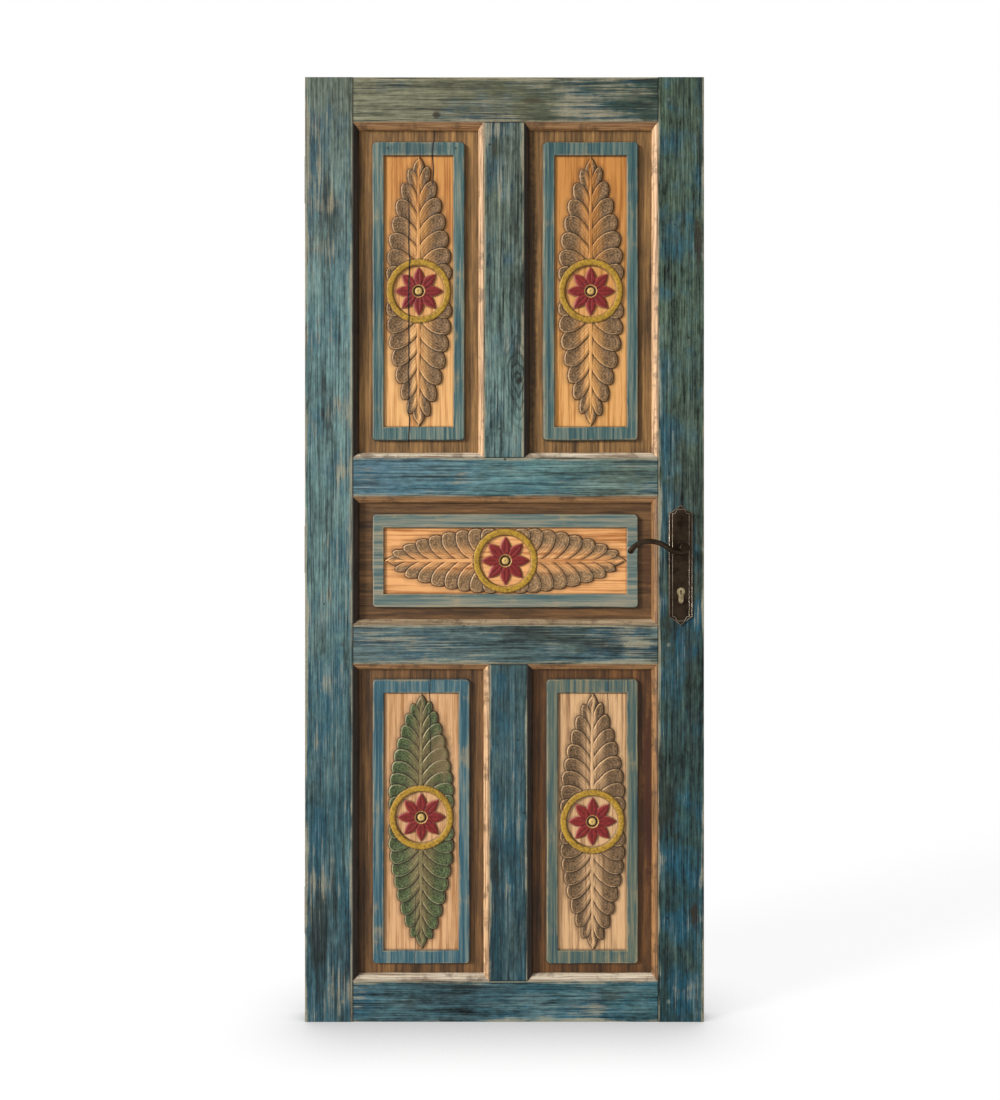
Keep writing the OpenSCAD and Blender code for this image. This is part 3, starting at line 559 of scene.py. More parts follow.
    def drift(self, paint: Surface, along: Socket, blotch: Socket) -> Socket:
        """The paint's hue, which drifts along the member.

        Args:
            paint: The material.
            along: The place along the grain.
            blotch: Noise that unsettles the drift.

        Returns:
            The hue.
        """
        upright = self.grain is Grain.UPRIGHT
        low, high = (0.0, LEAF_H) if upright else (-HALF_W, HALF_W)
        wobble = 0.30 if upright else 0.14
        lifted = paint.calc("MULTIPLY_ADD", blotch, wobble, along)
        height = paint.remap(lifted, low * MM + wobble / 2, high * MM + wobble / 2)
        return paint.ramp(height, *[((at - low) / (high - low), code) for at, code in self.tones])


@dataclass(frozen=True)
class BareWood:
    """Bare softwood moulding, planed and oiled: honey-coloured with darker grain lines, handling dirt and
    painted shade in the seam by the frame.
    """

    name: str
    grain: Grain
    dark: str
    pale: str
    dirt: str
    dirt_share: float
    seam: float

    def build(self) -> bpy.types.Material:
        """Makes the wood.

        Returns:
            The material.
        """
        wood = Surface(self.name)
        # grain lines about 3 mm apart, dirt in patches about 35 mm long
        lines = wood.noise(wood.drawn(self.grain, 0.03), 3, 4.0, 0.65)
        patch = wood.noise(wood.place, 35, 5.0, 0.7)
        colour = wood.ramp(lines, (0.38, self.dark), (0.58, self.pale))
        colour = wood.mix(wood.remap(patch, 0.50, 0.66, 0.0, self.dirt_share, smooth=True), colour, self.dirt)
        # painted shade in the seam where the bead meets the frame, just behind its face, as strong as the
        # seam field says
        colour = wood.mix(wood.remap(wood.y, -0.0215, -0.0185, self.seam, 0.0), colour, "#130d08")
        return wood.finish(colour, lines, 0.4, 0.8, {"Roughness": 0.58, "Specular IOR Level": 0.35})


@dataclass(frozen=True)
class AgedMetal:
    """A cast or plated metal with a mottled patina and rubbed high spots."""

    name: str
    dark: str
    bright: str
    roughness: float = 0.42
    mottle: float = 9.0

    def build(self) -> bpy.types.Material:
        """Makes the metal.

        Returns:
            The material.
        """
        metal = Surface(self.name)
        mottle = metal.noise(metal.place, self.mottle, 6.0, 0.65)
        grit = metal.noise(metal.place, 1.6, 2.0)
        colour = metal.ramp(mottle, (0.36, self.dark), (0.68, self.bright))
        rough = metal.remap(mottle, 0.3, 0.7, self.roughness + 0.12, self.roughness - 0.08)
        return metal.finish(colour, grit, 0.25, 0.4, {"Roughness": rough, "Metallic": 1.0})


@dataclass(frozen=True)
class PanelFinish:
    """The colours of one carved panel: oiled pine, thin worn paint on the border and on the carving."""

    name: str
    grain: Grain
    margin: tuple[str, str] = ("#4e361e", "#876439")
    border: tuple[str, str, str] = ("#1f3b42", "#3f5b5a", "#737a6c")
    border_bare: str = "#a08a63"
    ground: tuple[str, str] = ("#ae733c", "#daa76b")
    leaf: tuple[str, str] = ("#38291a", "#9c7850")
    leaf_rim_highlight: str = "#d3a976"
    ring: tuple[str, str] = ("#6e5217", "#a98328")
    petal: tuple[str, str] = ("#480d0b", "#811f1c")
    petal_rim_highlight: str = "#9a5145"
    boss: str = "#b89a58"
    recess_shade: str = "#22160c"
    oil: str = "#e1cfb0"
    oiled: tuple[float, float] | None = None
    spots: tuple[Spot, ...] = ()
    cracks: tuple[Crack, ...] = ()

    def build(self) -> bpy.types.Material:
        """Makes the panel's finish from the masks that its mesh carries.

        Returns:
            The material.
        """
        wood = Surface(self.name)
        grained = wood.drawn(self.grain, 0.03)
        # year rings show as lines about 6 mm apart, with fibres of about 2 mm between them
        rings = wood.noise(grained, 6, 3.0, 0.55)
        fibre = wood.noise(grained, 2.2, 4.0, 0.7)
        patch = wood.noise(wood.place, 75, 5.0, 0.6)
        speck = wood.noise(wood.place, 4.5, 4.0, 0.7)
        stains = wood.noise(wood.drawn(self.grain, 0.16), 28, 6.0, 0.68)
        raised, leaf, ring, petal = wood.masks("zone")
        # the detail layer holds the painted shade, the rims (painted highlight on the carving, wear on the
        # border), the field and the boss
        groove_shade, rim, field, boss = wood.masks("detail")
        lines = wood.weighted(0.0, (rings, 0.6), (fibre, 0.4))
        ground = wood.ramp(lines, (0.38, self.ground[0]), (0.53, self.ground[1]))
        if self.oiled is not None:
            # old oil darkens the upper part of the field
            oil = wood.remap(wood.z, self.oiled[0] * MM, self.oiled[1] * MM)
            ground = wood.mix(oil, ground, self.oil, "MULTIPLY")
        margin = wood.ramp(lines, (0.38, self.margin[0]), (0.60, self.margin[1]))
        margin = wood.mix(1.0, margin, wood.remap(stains, 0.36, 0.64, 0.42, 1.48), "MULTIPLY")
        blue = wood.ramp(lines, (0.38, self.border[0]), (0.49, self.border[1]), (0.60, self.border[2]))
        loss = wood.weighted(patch, (rim, 0.42), (fibre, 0.45))
        blue = wood.mix(wood.remap(loss, 0.80, 0.95, 0.0, 0.42, smooth=True), blue, self.border_bare)
        # the leaves are stained dark, and a painted highlight runs along the rims of the lobes and the edges
        # of the petals
        tone = wood.calc("MULTIPLY_ADD", speck, 0.9, -0.2)
        green = wood.mix(rim, wood.ramp(tone, (0.12, self.leaf[0]), (0.42, self.leaf[1])), self.leaf_rim_highlight)
        gilt = wood.ramp(speck, (0.34, self.ring[0]), (0.58, self.ring[1]))
        red = wood.mix(rim, wood.ramp(speck, (0.30, self.petal[0]), (0.62, self.petal[1])), self.petal_rim_highlight)
        # painted shade: a near-black brown laid in the grooves and steps of the carving
        recess_shade = wood.calc("MULTIPLY", groove_shade, 0.95)
        colour = margin
        carving = ((leaf, green), (ring, gilt), (petal, red), (boss, self.boss), (recess_shade, self.recess_shade))
        for mask, coat in ((raised, blue), (field, ground), *carving):
            colour = wood.mix(mask, colour, coat)
        colour = wood.spotted(colour, self.spots)
        colour = wood.cracked(colour, self.cracks, self.grain)
        return wood.finish(colour, lines, 0.5, 0.9, {"Roughness": 0.62, "Specular IOR Level": 0.3})


def bend_wire(
    name: str, lines: list[list[WirePoint]], r: float, fineness: int, closed: bool = False
) -> bpy.types.Object:
    """Bends round wires along lines of points, as one mesh.

    Args:
        name: The object's name.
        lines: Each line's points: x, y and z in metres, and the share of the radius there.
        r: The wire's radius.
        fineness: How finely the wire is rounded.
        closed: Whether each line is a ring. An open wire gets end caps.

    Returns:
        The wires.
    """
    curve = bpy.data.curves.new(name, "CURVE")
    curve.dimensions = "3D"
    curve.bevel_depth = r * MM
    curve.bevel_resolution = fineness
    curve.use_fill_caps = not closed
    for line in lines:
        spline = curve.splines.new("POLY")
        spline.use_cyclic_u = closed
        spline.points.add(len(line) - 1)
        for point, (x, y, z, share) in zip(spline.points, line):
            point.co = (x, y, z, 1.0)
            point.radius = share
    wire = bpy.data.objects.new(name, curve)
    bpy.context.scene.collection.objects.link(wire)
    bpy.ops.object.select_all(action="DESELECT")
    wire.select_set(True)
    bpy.context.view_layer.objects.active = wire
    bpy.ops.object.convert(target="MESH")
    return bpy.context.view_layer.objects.active


def lattice_noise(x: np.ndarray, z: np.ndarray, cell_x: float, cell_z: float, seed: int) -> np.ndarray:
    """Smooth seeded noise between -1 and 1 on a lattice of cells.

    Args:
        x: Places across.
        z: Places up.
        cell_x: Width of a cell.
        cell_z: Height of a cell.
        seed: Seed of the lattice.

    Returns:
        The noise at each place.
    """
    values = np.random.default_rng(seed).uniform(-1.0, 1.0, (64, 64))
    u = x / cell_x
    v = z / cell_z
    i = np.floor(u).astype(int)
    j = np.floor(v).astype(int)
    fu = u - i
    fv = v - j
    fu = fu * fu * (3 - 2 * fu)
    fv = fv * fv * (3 - 2 * fv)
    low = values[i % 64, j % 64] * (1 - fu) + values[(i + 1) % 64, j % 64] * fu
    high = values[i % 64, (j + 1) % 64] * (1 - fu) + values[(i + 1) % 64, (j + 1) % 64] * fu
    return low * (1 - fv) + high * fv


def ease(low: float, high: float, value: np.ndarray) -> np.ndarray:
    """Smooth step from 0 at low to 1 at high, which may run either way."""
    t = np.clip((value - low) / (high - low), 0.0, 1.0)
    return t * t * (3 - 2 * t)


def curve_points(a: tuple, b: tuple, c: tuple, d: tuple, count: int = 11) -> np.ndarray:
    """Points along a cubic curve from a to d that b and c pull on."""
    t = np.linspace(0.0, 1.0, count)[:, None]
    a, b, c, d = (np.array(p, dtype=float) for p in (a, b, c, d))
    return (1 - t) ** 3 * a + 3 * (1 - t) ** 2 * t * b + 3 * (1 - t) * t**2 * c + t**3 * d


def line_distance(x: np.ndarray, z: np.ndarray, line: np.ndarray) -> np.ndarray:
    """Distance from each place to the nearest point of a line of straight pieces."""
    best = np.full(x.shape, 1e9)
    for (ax, az), (bx, bz) in zip(line[:-1], line[1:]):
        dx = bx - ax
        dz = bz - az
        t = np.clip(((x - ax) * dx + (z - az) * dz) / (dx * dx + dz * dz), 0.0, 1.0)
        best = np.minimum(best, np.hypot(x - ax - t * dx, z - az - t * dz))
    return best


def within(x: np.ndarray, z: np.ndarray, ring: np.ndarray) -> np.ndarray:
    """Tells for each place whether it lies inside a closed ring of points."""
    inside = np.zeros(x.shape, dtype=bool)
    for (ax, az), (bx, bz) in zip(ring, np.roll(ring, -1, axis=0)):
        if az == bz:
            continue
        inside ^= ((az > z) != (bz > z)) & (x < (bx - ax) * (z - az) / (bz - az) + ax)
    return inside


@dataclass
class CarvedPanel:
    """One raised panel with its border, sunk field, ring, flower and two leaves, as a fine carved mesh."""

    name: str
    x0: float
    z0: float
    x1: float
    z1: float
    margin_z: float
    finish: PanelFinish
    rise: float = 0.0
    seed: int = 1
    margin_x: float = 41.0
    border_x: float = 24.0
    border_z: float = 29.0
    tongue: float = 10.0
    tongue_half: float = 7.3
    raised_h: float = 7.0
    field_sink: float = 4.0
    border_r: float = 8.0
    ring_r: float = 68.0
    ring_band: float = 13.0
    ring_h: float = 5.0
    flower_r: float = 52.0
    petals: int = 8
    petal_h: float = 3.9
    petal_half_w: float = 11.8
    petal_broad: float = 27.0
    heart_r: float = 24.0
    boss_r: float = 9.0
    leaf_lobes: int = 7
    leaf_half_w: float = 69.0
    lobe_rise: float = 36.0
    spine_stain: float = 0.0
    lobe_h: float = 4.4
    tip_gap: float = 4.0
    pitch: float = 1.3

    def ruled_lines(self, board: float, border: float, inner: float) -> np.ndarray:
        """Places of the mesh's lines across one half of the panel, mirrored about its middle.

        Args:
            board: Half the board.
            border: Half the raised border, over its outer edges.
            inner: Half the sunk field.

        Returns:
            All the places, from one edge of the board to the other.
        """
        # even lines over the carving, and close ones at the steps and the rounded edges of the border
        half = list(np.arange(0.0, inner - 0.8, self.pitch))
        half += [inner - 0.5, inner + 0.15, inner + 0.7, inner + 1.6]
        half += list(np.linspace(inner + 4, border - 11, 5))
        half += list(np.arange(border - 9.5, border - 2.2, 1.1))
        half += [border - 2.0, border - 1.2, border - 0.6, border + 0.1, border + 0.8, border + 2.0]
        half += list(np.linspace(border + 5, board, 8))
        places = np.array(sorted(set(np.round(half, 4))))
        return np.concatenate([-places[:0:-1], places])

    def lobe_line(self, root: float, length: float) -> np.ndarray:
        """The outline of one lobe, from the midrib over its rounded end to where the next lobe covers it.

        Args:
            root: Where the lobe leaves the midrib, along the leaf.
            length: Distance from the flower's middle to the leaf's tip.

        Returns:
            Points across and along the leaf.
        """
        # the leaf is broadest at the ring and narrows to its tip
        broad = self.ring_r * 0.74
        place = root + 0.55 * self.lobe_rise
        share = min(max((place - broad) / (length - broad), 0.0), 1.0)
        full = 0.5 * (1 - share * share) + 0.5 * (1 - share) ** 0.46
        wide = 1.5 + (self.leaf_half_w - 1.5) * full
        rise = self.lobe_rise * min(1.0, wide / 36) ** 0.4
        top = 0.78 * wide
        crest = root + rise
        waist = root + 0.55 * rise
        edge = 0.93 * wide
        heel = (0.8 * wide, root - 0.05 * rise)
        inner = curve_points((0, root), (0.28 * top, root + 0.58 * rise), (0.60 * top, crest), (top, crest))
        outer = curve_points((top, crest), (edge, crest), (wide, root + 0.82 * rise), (wide, waist))
        under = curve_points((wide, waist), (wide, root + 0.3 * rise), (edge, root + 0.05 * rise), heel)
        return np.concatenate([inner, outer[1:], under[1:]])

    def leaf_relief(
        self, across: np.ndarray, along: np.ndarray, length: float
    ) -> tuple[np.ndarray, np.ndarray, np.ndarray, np.ndarray]:
        """Height and masks of one leaf that grows along its second coordinate.

        The lobes lie over each other like scales: each one covers the foot of the next one towards the tip.

        Args:
            across: Distance from the midrib, with its sign.
            along: Distance from the flower's middle.
            length: Distance from the flower's middle to the leaf's tip.

        Returns:
            Height, mask of the dark stain, mask of the pale rims (a painted highlight) and mask of the
            painted shade in and beside the grooves.
        """
        # a hand-cut leaf strays a little from its drawing, and its two sides don't meet exactly
        stray = lattice_noise(across + 300, along + 300, 26.0, 30.0, self.seed + 31)
        side = np.abs(across + 0.8 * stray)
        reach = along + 1.6 * lattice_noise(across + 700, along + 100, 34.0, 34.0, self.seed + 47)
        reach = reach + np.where(across < 0, 2.5, -1.5)
        height = np.zeros_like(side)
        stain = np.zeros_like(side)
        rim = np.zeros_like(side)
        groove_shade = np.zeros_like(side)
        foot = length - 50
        tip = curve_points((0, foot), (15, foot + 12), (17, length - 20), (0, length), 17)
        lines = [(tip, tip)]
        for i in range(self.leaf_lobes):
            line = self.lobe_line(length * (0.815 - 0.87 * i / self.leaf_lobes), length)
            lines.append((line, np.concatenate([line, [(0.0, line[0][1] - 42.0)]])))
        for line, ring in lines:
            wide = line[:, 0].max()
            low = ring[:, 1].min()
            high = ring[:, 1].max()
            near = (side < wide + 12) & (reach > low - 12) & (reach < high + 12)
            s = side[near]
            a = reach[near]
            off = line_distance(s, a, line)
            inside = within(s, a, ring)
            # each lobe rises to its rim, with a raised arris that carries a painted highlight, and fine
            # ripples behind it
            crown = 0.42 + 0.58 * np.exp(-((off / 13.0) ** 2))
            body = self.lobe_h * crown * (0.55 + 0.45 * ease(0.0, 2.6, off))
            pale = ease(2.1, 1.1, off) * ease(-0.1, 0.5, off)
            wave = np.sin(off * 2 * np.pi / 5.2) * ease(3.5, 6.0, off)
            height[near] = np.where(inside, body + 0.45 * pale + 0.2 * wave, height[near])
            grown = ease(0.16 * wide, 0.62 * wide, s + 3.0 * stray[near])
            stain[near] = np.where(inside, 0.10 + 0.90 * grown, stain[near])
            rim[near] = np.where(inside, pale * (0.55 + 0.35 * stray[near]), rim[near])
            # painted shade lies in the cuts and ripple troughs inside the lobe, and a painted shadow on what
            # the lobe overhangs
            cut = np.maximum(ease(1.6, 0.4, np.abs(off - 3.5)) * 0.35, ease(-0.45, -0.95, wave) * 0.5)
            shadow = np.maximum(ease(4.2, 1.5, off) * 0.95, ease(14.0, 1.0, off) * 0.36)
            groove_shade[near] = np.where(inside, cut, np.maximum(groove_shade[near], shadow))
        # the midrib narrows to the tip
        half = 4.2 * (1 - 0.62 * np.clip(along / length, 0, 1))
        spine = ease(half + 1.4, half - 0.4, side) * (along > 0) * ease(length - 8, length - 30, along)
        midrib = np.maximum(height * (1 - 0.5 * spine), self.lobe_h * 0.9 * spine)
        height = np.where(spine > 0.01, midrib, height)
        stain = stain * (1 - 0.9 * spine)
        stain = stain + self.spine_stain * (height > 0.3) * (1 - stain)
        rim = rim * (1 - 0.6 * spine)
        # painted shade along both sides of the midrib
        flank = ease(1.1, 0.2, np.abs(side - half - 1.2)) * (along > 0) * (along < length - 14)
        groove_shade = np.maximum(groove_shade * (1 - 0.8 * spine), flank * 0.3)
        return height, stain, rim, groove_shade

    def flower_relief(self, across: np.ndarray, along: np.ndarray) -> tuple[np.ndarray, ...]:
        """Height and masks of the ring and the flower.

        Args:
            across: Places across, from the flower's middle.
            along: Places along, from the flower's middle.

        Returns:
            Height, ring mask, petal mask, boss mask, mask of the painted shade in the grooves and mask of the
            petals' edges.
        """
        r = np.hypot(across, along)
        turn = np.arctan2(along, across)
        mid = self.ring_r - self.ring_band / 2
        band = np.abs(r - mid)
        ring = ease(self.ring_band / 2 + 0.4, self.ring_band / 2 - 0.4, band)
        height = ring * self.ring_h * (1 - 0.25 * (band / (self.ring_band / 2)) ** 4)
        # petals with pointed ends, a vein along each and a valley between each two
        step = 2 * np.pi / self.petals
        local = (turn + step / 2) % step - step / 2
        radial = r * np.cos(local)
        lateral = np.abs(r * np.sin(local))
        taper = np.clip((radial - self.petal_broad) / (self.flower_r - self.petal_broad), 0.0, 1.0)
        inset = self.petal_half_w * (1 - taper**1.8) - lateral
        petal = ease(-0.5, 0.5, inset) * (radial < self.flower_r)
        petal = np.maximum(petal, ease(self.heart_r, self.heart_r - 1, r))
        valley = ease(1.6, 0.4, np.abs(step / 2 - np.abs(local)) * r) * (r > 14) * (r < 25)
        vein = ease(1.5, 0.4, lateral) * (r > 19)
        crown = self.petal_h * (0.55 + 0.45 * ease(0.0, 5.0, inset)) - 1.1 * vein - 1.2 * valley
        height = np.where(petal > 0.01, petal * np.where(r < 15, self.petal_h, crown), height)
        # a turned boss with a drilled middle stands in a dish
        dish = ease(12.5, 11.0, r)
        height = np.where(r < 13, height - 2.8 * dish, height)
        boss = ease(8.2, 7.4, r)
        dome = 3.4 * np.sqrt(np.clip(1 - (r / self.boss_r) ** 2, 0, 1)) + 1.2
        height = np.where(r < self.boss_r, height + boss * dome, height)
        height -= ease(2.4, 1.4, r)
        hoop = ease(1.1, 0.5, np.abs(r - 12.6))
        # painted shade lies in every step and cut, round the ring, in the dish and in the drilled middle,
        # each with its own strength
        shade = ease(2.0, 0.2, np.abs(inset + 0.8)) * (r > self.heart_r) * (r < self.flower_r + 1)
        ring_out = ease(1.8, 0.2, np.abs(r - self.ring_r - 0.8))
        ring_in = ease(1.8, 0.2, np.abs(r - self.ring_r + self.ring_band + 0.8))
        groove_shade = ease(1.4, 0.3, np.abs(r - 9.6) - 1.0) * 0.95
        for mask, depth in (
            (ease(1.2, 0.3, lateral) * (r > 17) * (r < self.flower_r - 6), 0.55),
            (valley, 0.6),
            (shade, 0.55),
            (ring_out, 0.8),
            (ring_in, 0.8),
            (ease(1.8, 1.0, r), 0.8),
        ):
            groove_shade = np.maximum(groove_shade, mask * depth)
        # painted highlight along the petals' edges
        edge = ease(2.2, 0.9, inset) * ease(-0.4, 0.5, inset) * (r > self.heart_r) * (r < self.flower_r)
        return height, ring, petal * (1 - boss), np.maximum(boss, hoop), groove_shade, edge

    def build(self) -> bpy.types.Object:
        """Carves the panel as one closed mesh with its colour masks.

        Returns:
            The panel.
        """
        width = self.x1 - self.x0
        tall = self.z1 - self.z0
        border = (width / 2 - self.margin_x, tall / 2 - self.margin_z)
        inner = (border[0] - self.border_x, border[1] - self.border_z)
        xs = self.ruled_lines(width / 2 + self.tongue, border[0], inner[0])
        zs = self.ruled_lines(tall / 2 + self.tongue, border[1], inner[1])
        x, z = np.meshgrid(xs, zs, indexing="ij")
        # the border has rounded corners and edges that waver by half a millimetre
        wobble = 0.5 * lattice_noise(x + 500, z + 500, 45.0, 45.0, self.seed)
        qx = np.abs(x) - border[0] + self.border_r
        qz = np.abs(z) - border[1] + self.border_r
        corner = np.hypot(np.maximum(qx, 0), np.maximum(qz, 0))
        outer = corner + np.minimum(np.maximum(qx, qz), 0) - self.border_r
        outer = outer + wobble * (np.abs(outer) < 3)
        sunk = np.maximum(np.abs(x) - inner[0], np.abs(z) - inner[1])
        raised = ease(0.5, -1.8, outer)
        field = ease(0.45, -0.25, sunk)
        height = self.tongue_half + self.raised_h * raised - self.field_sink * field
        lying = width > tall
        across = z if lying else x
        along = (x if lying else z) - self.rise
        half = max(inner) - self.tip_gap
        zones = np.zeros(x.shape + (4,))
        details = np.zeros(x.shape + (4,))
        carve = np.zeros_like(x)
        groove_shade = np.zeros_like(x)
        # both leaves start under the ring
        r = np.hypot(across, along)
        for way in (1, -1):
            relief, stain, rim, dark = self.leaf_relief(across, way * along, half - way * self.rise)
            shown = (way * along > 0) & (r > self.ring_r - self.ring_band / 2)
            carve = np.where(shown, relief, carve)
            zones[..., 1] = np.where(shown, stain, zones[..., 1])
            details[..., 1] = np.where(shown, rim, details[..., 1])
            groove_shade = np.where(shown, dark, groove_shade)
        bloom, ring, petal, boss, dark, edge = self.flower_relief(across, along)
        disc = r < self.ring_r + 0.3
        carve = np.where(disc, np.where(bloom > 0.05, bloom, 0.0), carve)
        zones[..., 1] = np.where(disc, 0.0, zones[..., 1])
        details[..., 1] = np.where(disc, edge, details[..., 1])
        near = r < self.ring_r + 2.5
        groove_shade = np.where(near, np.maximum(dark, groove_shade * (~disc)), groove_shade)
        inside = field * (sunk < 0)
        hand = 0.12 * lattice_noise(x + 900, z + 900, 9.0, 14.0, self.seed + 5)
        height = height + carve * inside + hand * inside
        zones[..., 0] = ease(0.3, -0.5, outer)
        zones[..., 1] *= inside
        zones[..., 2] = ring * inside
        zones[..., 3] = petal * inside
        # painted shade at the foot of the raised border and round the edge of the sunk field
        outer_foot_shade = ease(2.2, 0.3, np.abs(outer - 1.0)) * 0.55
        inner_foot_shade = ease(2.6, 0.2, np.abs(sunk + 0.9)) * 0.5
        details[..., 0] = np.maximum(groove_shade * inside, np.maximum(outer_foot_shade, inner_foot_shade))
        lip = np.maximum(ease(3.2, 0.8, np.abs(outer + 1.6)), ease(2.8, 0.6, np.abs(sunk - 1.2)))
        details[..., 1] = np.maximum(details[..., 1] * inside, lip * raised * (sunk > 0) * 0.38)
        details[..., 2] = ease(0.1, -0.6, sunk)
        details[..., 3] = boss * inside
        return self.mesh_from_heights(x, z, height, zones, details)

    def mesh_from_heights(
        self, x: np.ndarray, z: np.ndarray, height: np.ndarray, zones: np.ndarray, details: np.ndarray
    ) -> bpy.types.Object:
        """Makes the closed board: the carved face, four sides and a flat back.

        Args:
            x: Places across, from the panel's middle.
            z: Places up, from the panel's middle.
            height: Height of the face above the middle of the leaf, towards the front.
            zones: Border, leaf, ring and petal masks.
            details: Masks of painted shade in the grooves and steps, of the rims (a painted highlight on the
                carving, wear on the border), of the field and of the boss.

        Returns:
            The panel.
        """
        nx, nz = x.shape
        mid_x = (self.x0 + self.x1) / 2
        mid_z = (self.z0 + self.z1) / 2
        front = np.stack([x + mid_x, -height, z + mid_z], axis=-1).reshape(-1, 3)
        index = np.arange(nx * nz).reshape(nx, nz)
        corners = [index[:-1, :-1], index[1:, :-1], index[1:, 1:], index[:-1, 1:]]
        quads = np.stack(corners, axis=-1).reshape(-1, 4)
        rim = np.concatenate([index[:, 0], index[-1, 1:], index[-2::-1, -1], index[0, -2:0:-1]])
        back = front[rim].copy()
        back[:, 1] = self.tongue_half
        first = len(front)
        count = len(rim)
        here = np.arange(count)
        after = (here + 1) % count
        walls = np.stack([rim[here], first + here, first + after, rim[after]], axis=-1)
        faces = quads.tolist() + walls.tolist() + [list(range(first + count - 1, first - 1, -1))]
        mesh = bpy.data.meshes.new(self.name + "_carved")
        mesh.from_pydata((np.concatenate([front, back]) * MM).tolist(), [], faces)
        for layer, values in (("zone", zones), ("detail", details)):
            data = np.zeros((first + count, 4), dtype=np.float32)
            data[:first] = np.clip(values, 0, 1).reshape(-1, 4)
            attribute = mesh.color_attributes.new(layer, "FLOAT_COLOR", "POINT")
            attribute.data.foreach_set("color", data.ravel())
        flags = np.zeros(len(faces), dtype=bool)
        flags[: len(quads)] = True
        mesh.polygons.foreach_set("use_smooth", flags)
        mesh.update()
        panel = bpy.data.objects.new(self.name + "_carved", mesh)
        bpy.context.scene.collection.objects.link(panel)
        dress(panel, self.finish.build())
        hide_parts(self.name + "_panel")
        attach(panel, "leaf")
        LOG.info("%s: %d faces", panel.name, len(faces))
        return panel


@dataclass
class LeverHandle:
    """A bronze lever with a swept grip, a round boss and a neck, on one side of the leaf."""

    name: str
    node: str
    way: float
    x: float = SPINDLE_X
    z: float = 1003.0
    reach: float = 42.0
    grip_r: float = 5.3
    boss_r: float = 10.5
    neck_r: float = 9.0
    dip: tuple[float, float] = (-8.0, -8.5)
    dip_r: float = 42.0
    hill_r: float = 65.0
    curl_r: float = 44.0
    slope: float = 38.0
    lead: float = 14.0
    curl: float = 57.0
    steps: int = 12

    def grip_points(self) -> list[tuple[float, float]]:
        """The grip's middle line: a dip, a hill and a curl, flat across the leaf from the lever's axis."""
        slope = math.radians(self.slope)
        lead = math.radians(self.lead)
        peak = self.on_arc(self.dip, -self.dip_r - self.hill_r, slope)
        points = []
        for i in range(self.steps + 1):
            a = -lead + (slope + lead) * i / self.steps
            points.append(self.on_arc(self.dip, -self.dip_r, a))
        for i in range(1, self.steps + 1):
            a = slope * (1 - i / self.steps)
            points.append(self.on_arc(peak, self.hill_r, a))
        for i in range(1, self.steps + 1):
            a = math.radians(self.curl) * i / self.steps
            points.append(self.on_arc(peak, self.curl_r, -a))
        return points

    @staticmethod
    def on_arc(end: tuple[float, float], r: float, a: float) -> tuple[float, float]:
        """A point at an angle on an arc from its level end. A negative radius turns the arc over."""
        return (end[0] + r * math.sin(a), end[1] - r * (1 - math.cos(a)))

    def build(self, metal: bpy.types.Material) -> bpy.types.Object:
        """Models the lever and joins its pieces.

        Args:
            metal: The bronze.

        Returns:
            The lever.
        """
        y = self.way * (FACE + self.reach)
        points = self.grip_points()
        last = len(points) - 1
        line = []
        for i, (dx, dz) in enumerate(points):
            # the grip swells over its last six steps
            swell = 1.0 + 0.16 * max(0.0, 1 - (last - i) / 6)
            line.append(((self.x + dx) * MM, y * MM, (self.z + dz) * MM, swell))
        grip = bend_wire(self.name, [line], self.grip_r, 6)
        turned = self.round_piece(self.boss_r, 2 * self.grip_r + 3, y, 1.6)
        neck_l = self.reach + 2.5
        neck = self.round_piece(self.neck_r, neck_l, self.way * (FACE - 2.5 + neck_l / 2), 0.4)
        bpy.ops.mesh.primitive_uv_sphere_add(
            segments=28, ring_count=16, radius=self.grip_r * 1.18 * MM, location=line[-1][:3]
        )
        knob = bpy.context.active_object
        bpy.ops.object.select_all(action="DESELECT")
        for piece in (turned, neck, knob, grip):
            piece.select_set(True)
        bpy.context.view_layer.objects.active = grip
        bpy.ops.object.join()
        lever = bpy.context.active_object
        lever.name = self.name
        bpy.ops.object.transform_apply(location=True, rotation=True, scale=True)
        bpy.ops.object.shade_smooth_by_angle(angle=math.radians(40))
        lever.data.materials.clear()
        dress(lever, metal)
        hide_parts(self.node)
        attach(lever, "handle")
        LOG.info("%s: %d faces", lever.name, len(lever.data.polygons))
        return lever

    def round_piece(self, r: float, length: float, y: float, soft: float) -> bpy.types.Object:
        """Adds a turned piece along Y with its end edges bevelled.

        Args:
            r: Its radius.
            length: Its length.
            y: Its middle.
            soft: The bevel's width.

        Returns:
            The piece.
        """
        bpy.ops.object.select_all(action="DESELECT")
        bpy.ops.mesh.primitive_cylinder_add(
            vertices=56,
            radius=r * MM,
            depth=length * MM,
            location=(self.x * MM, y * MM, self.z * MM),
            rotation=(math.pi / 2, 0.0, 0.0),
        )
        piece = bpy.context.active_object
        bpy.ops.object.transform_apply(location=True, rotation=True, scale=True)
        bevel = piece.modifiers.new("soft_edge", "BEVEL")
        bevel.width = soft * MM
        bevel.segments = 4
        bevel.limit_method = "ANGLE"
        bpy.ops.object.modifier_apply(modifier=bevel.name)
        return piece


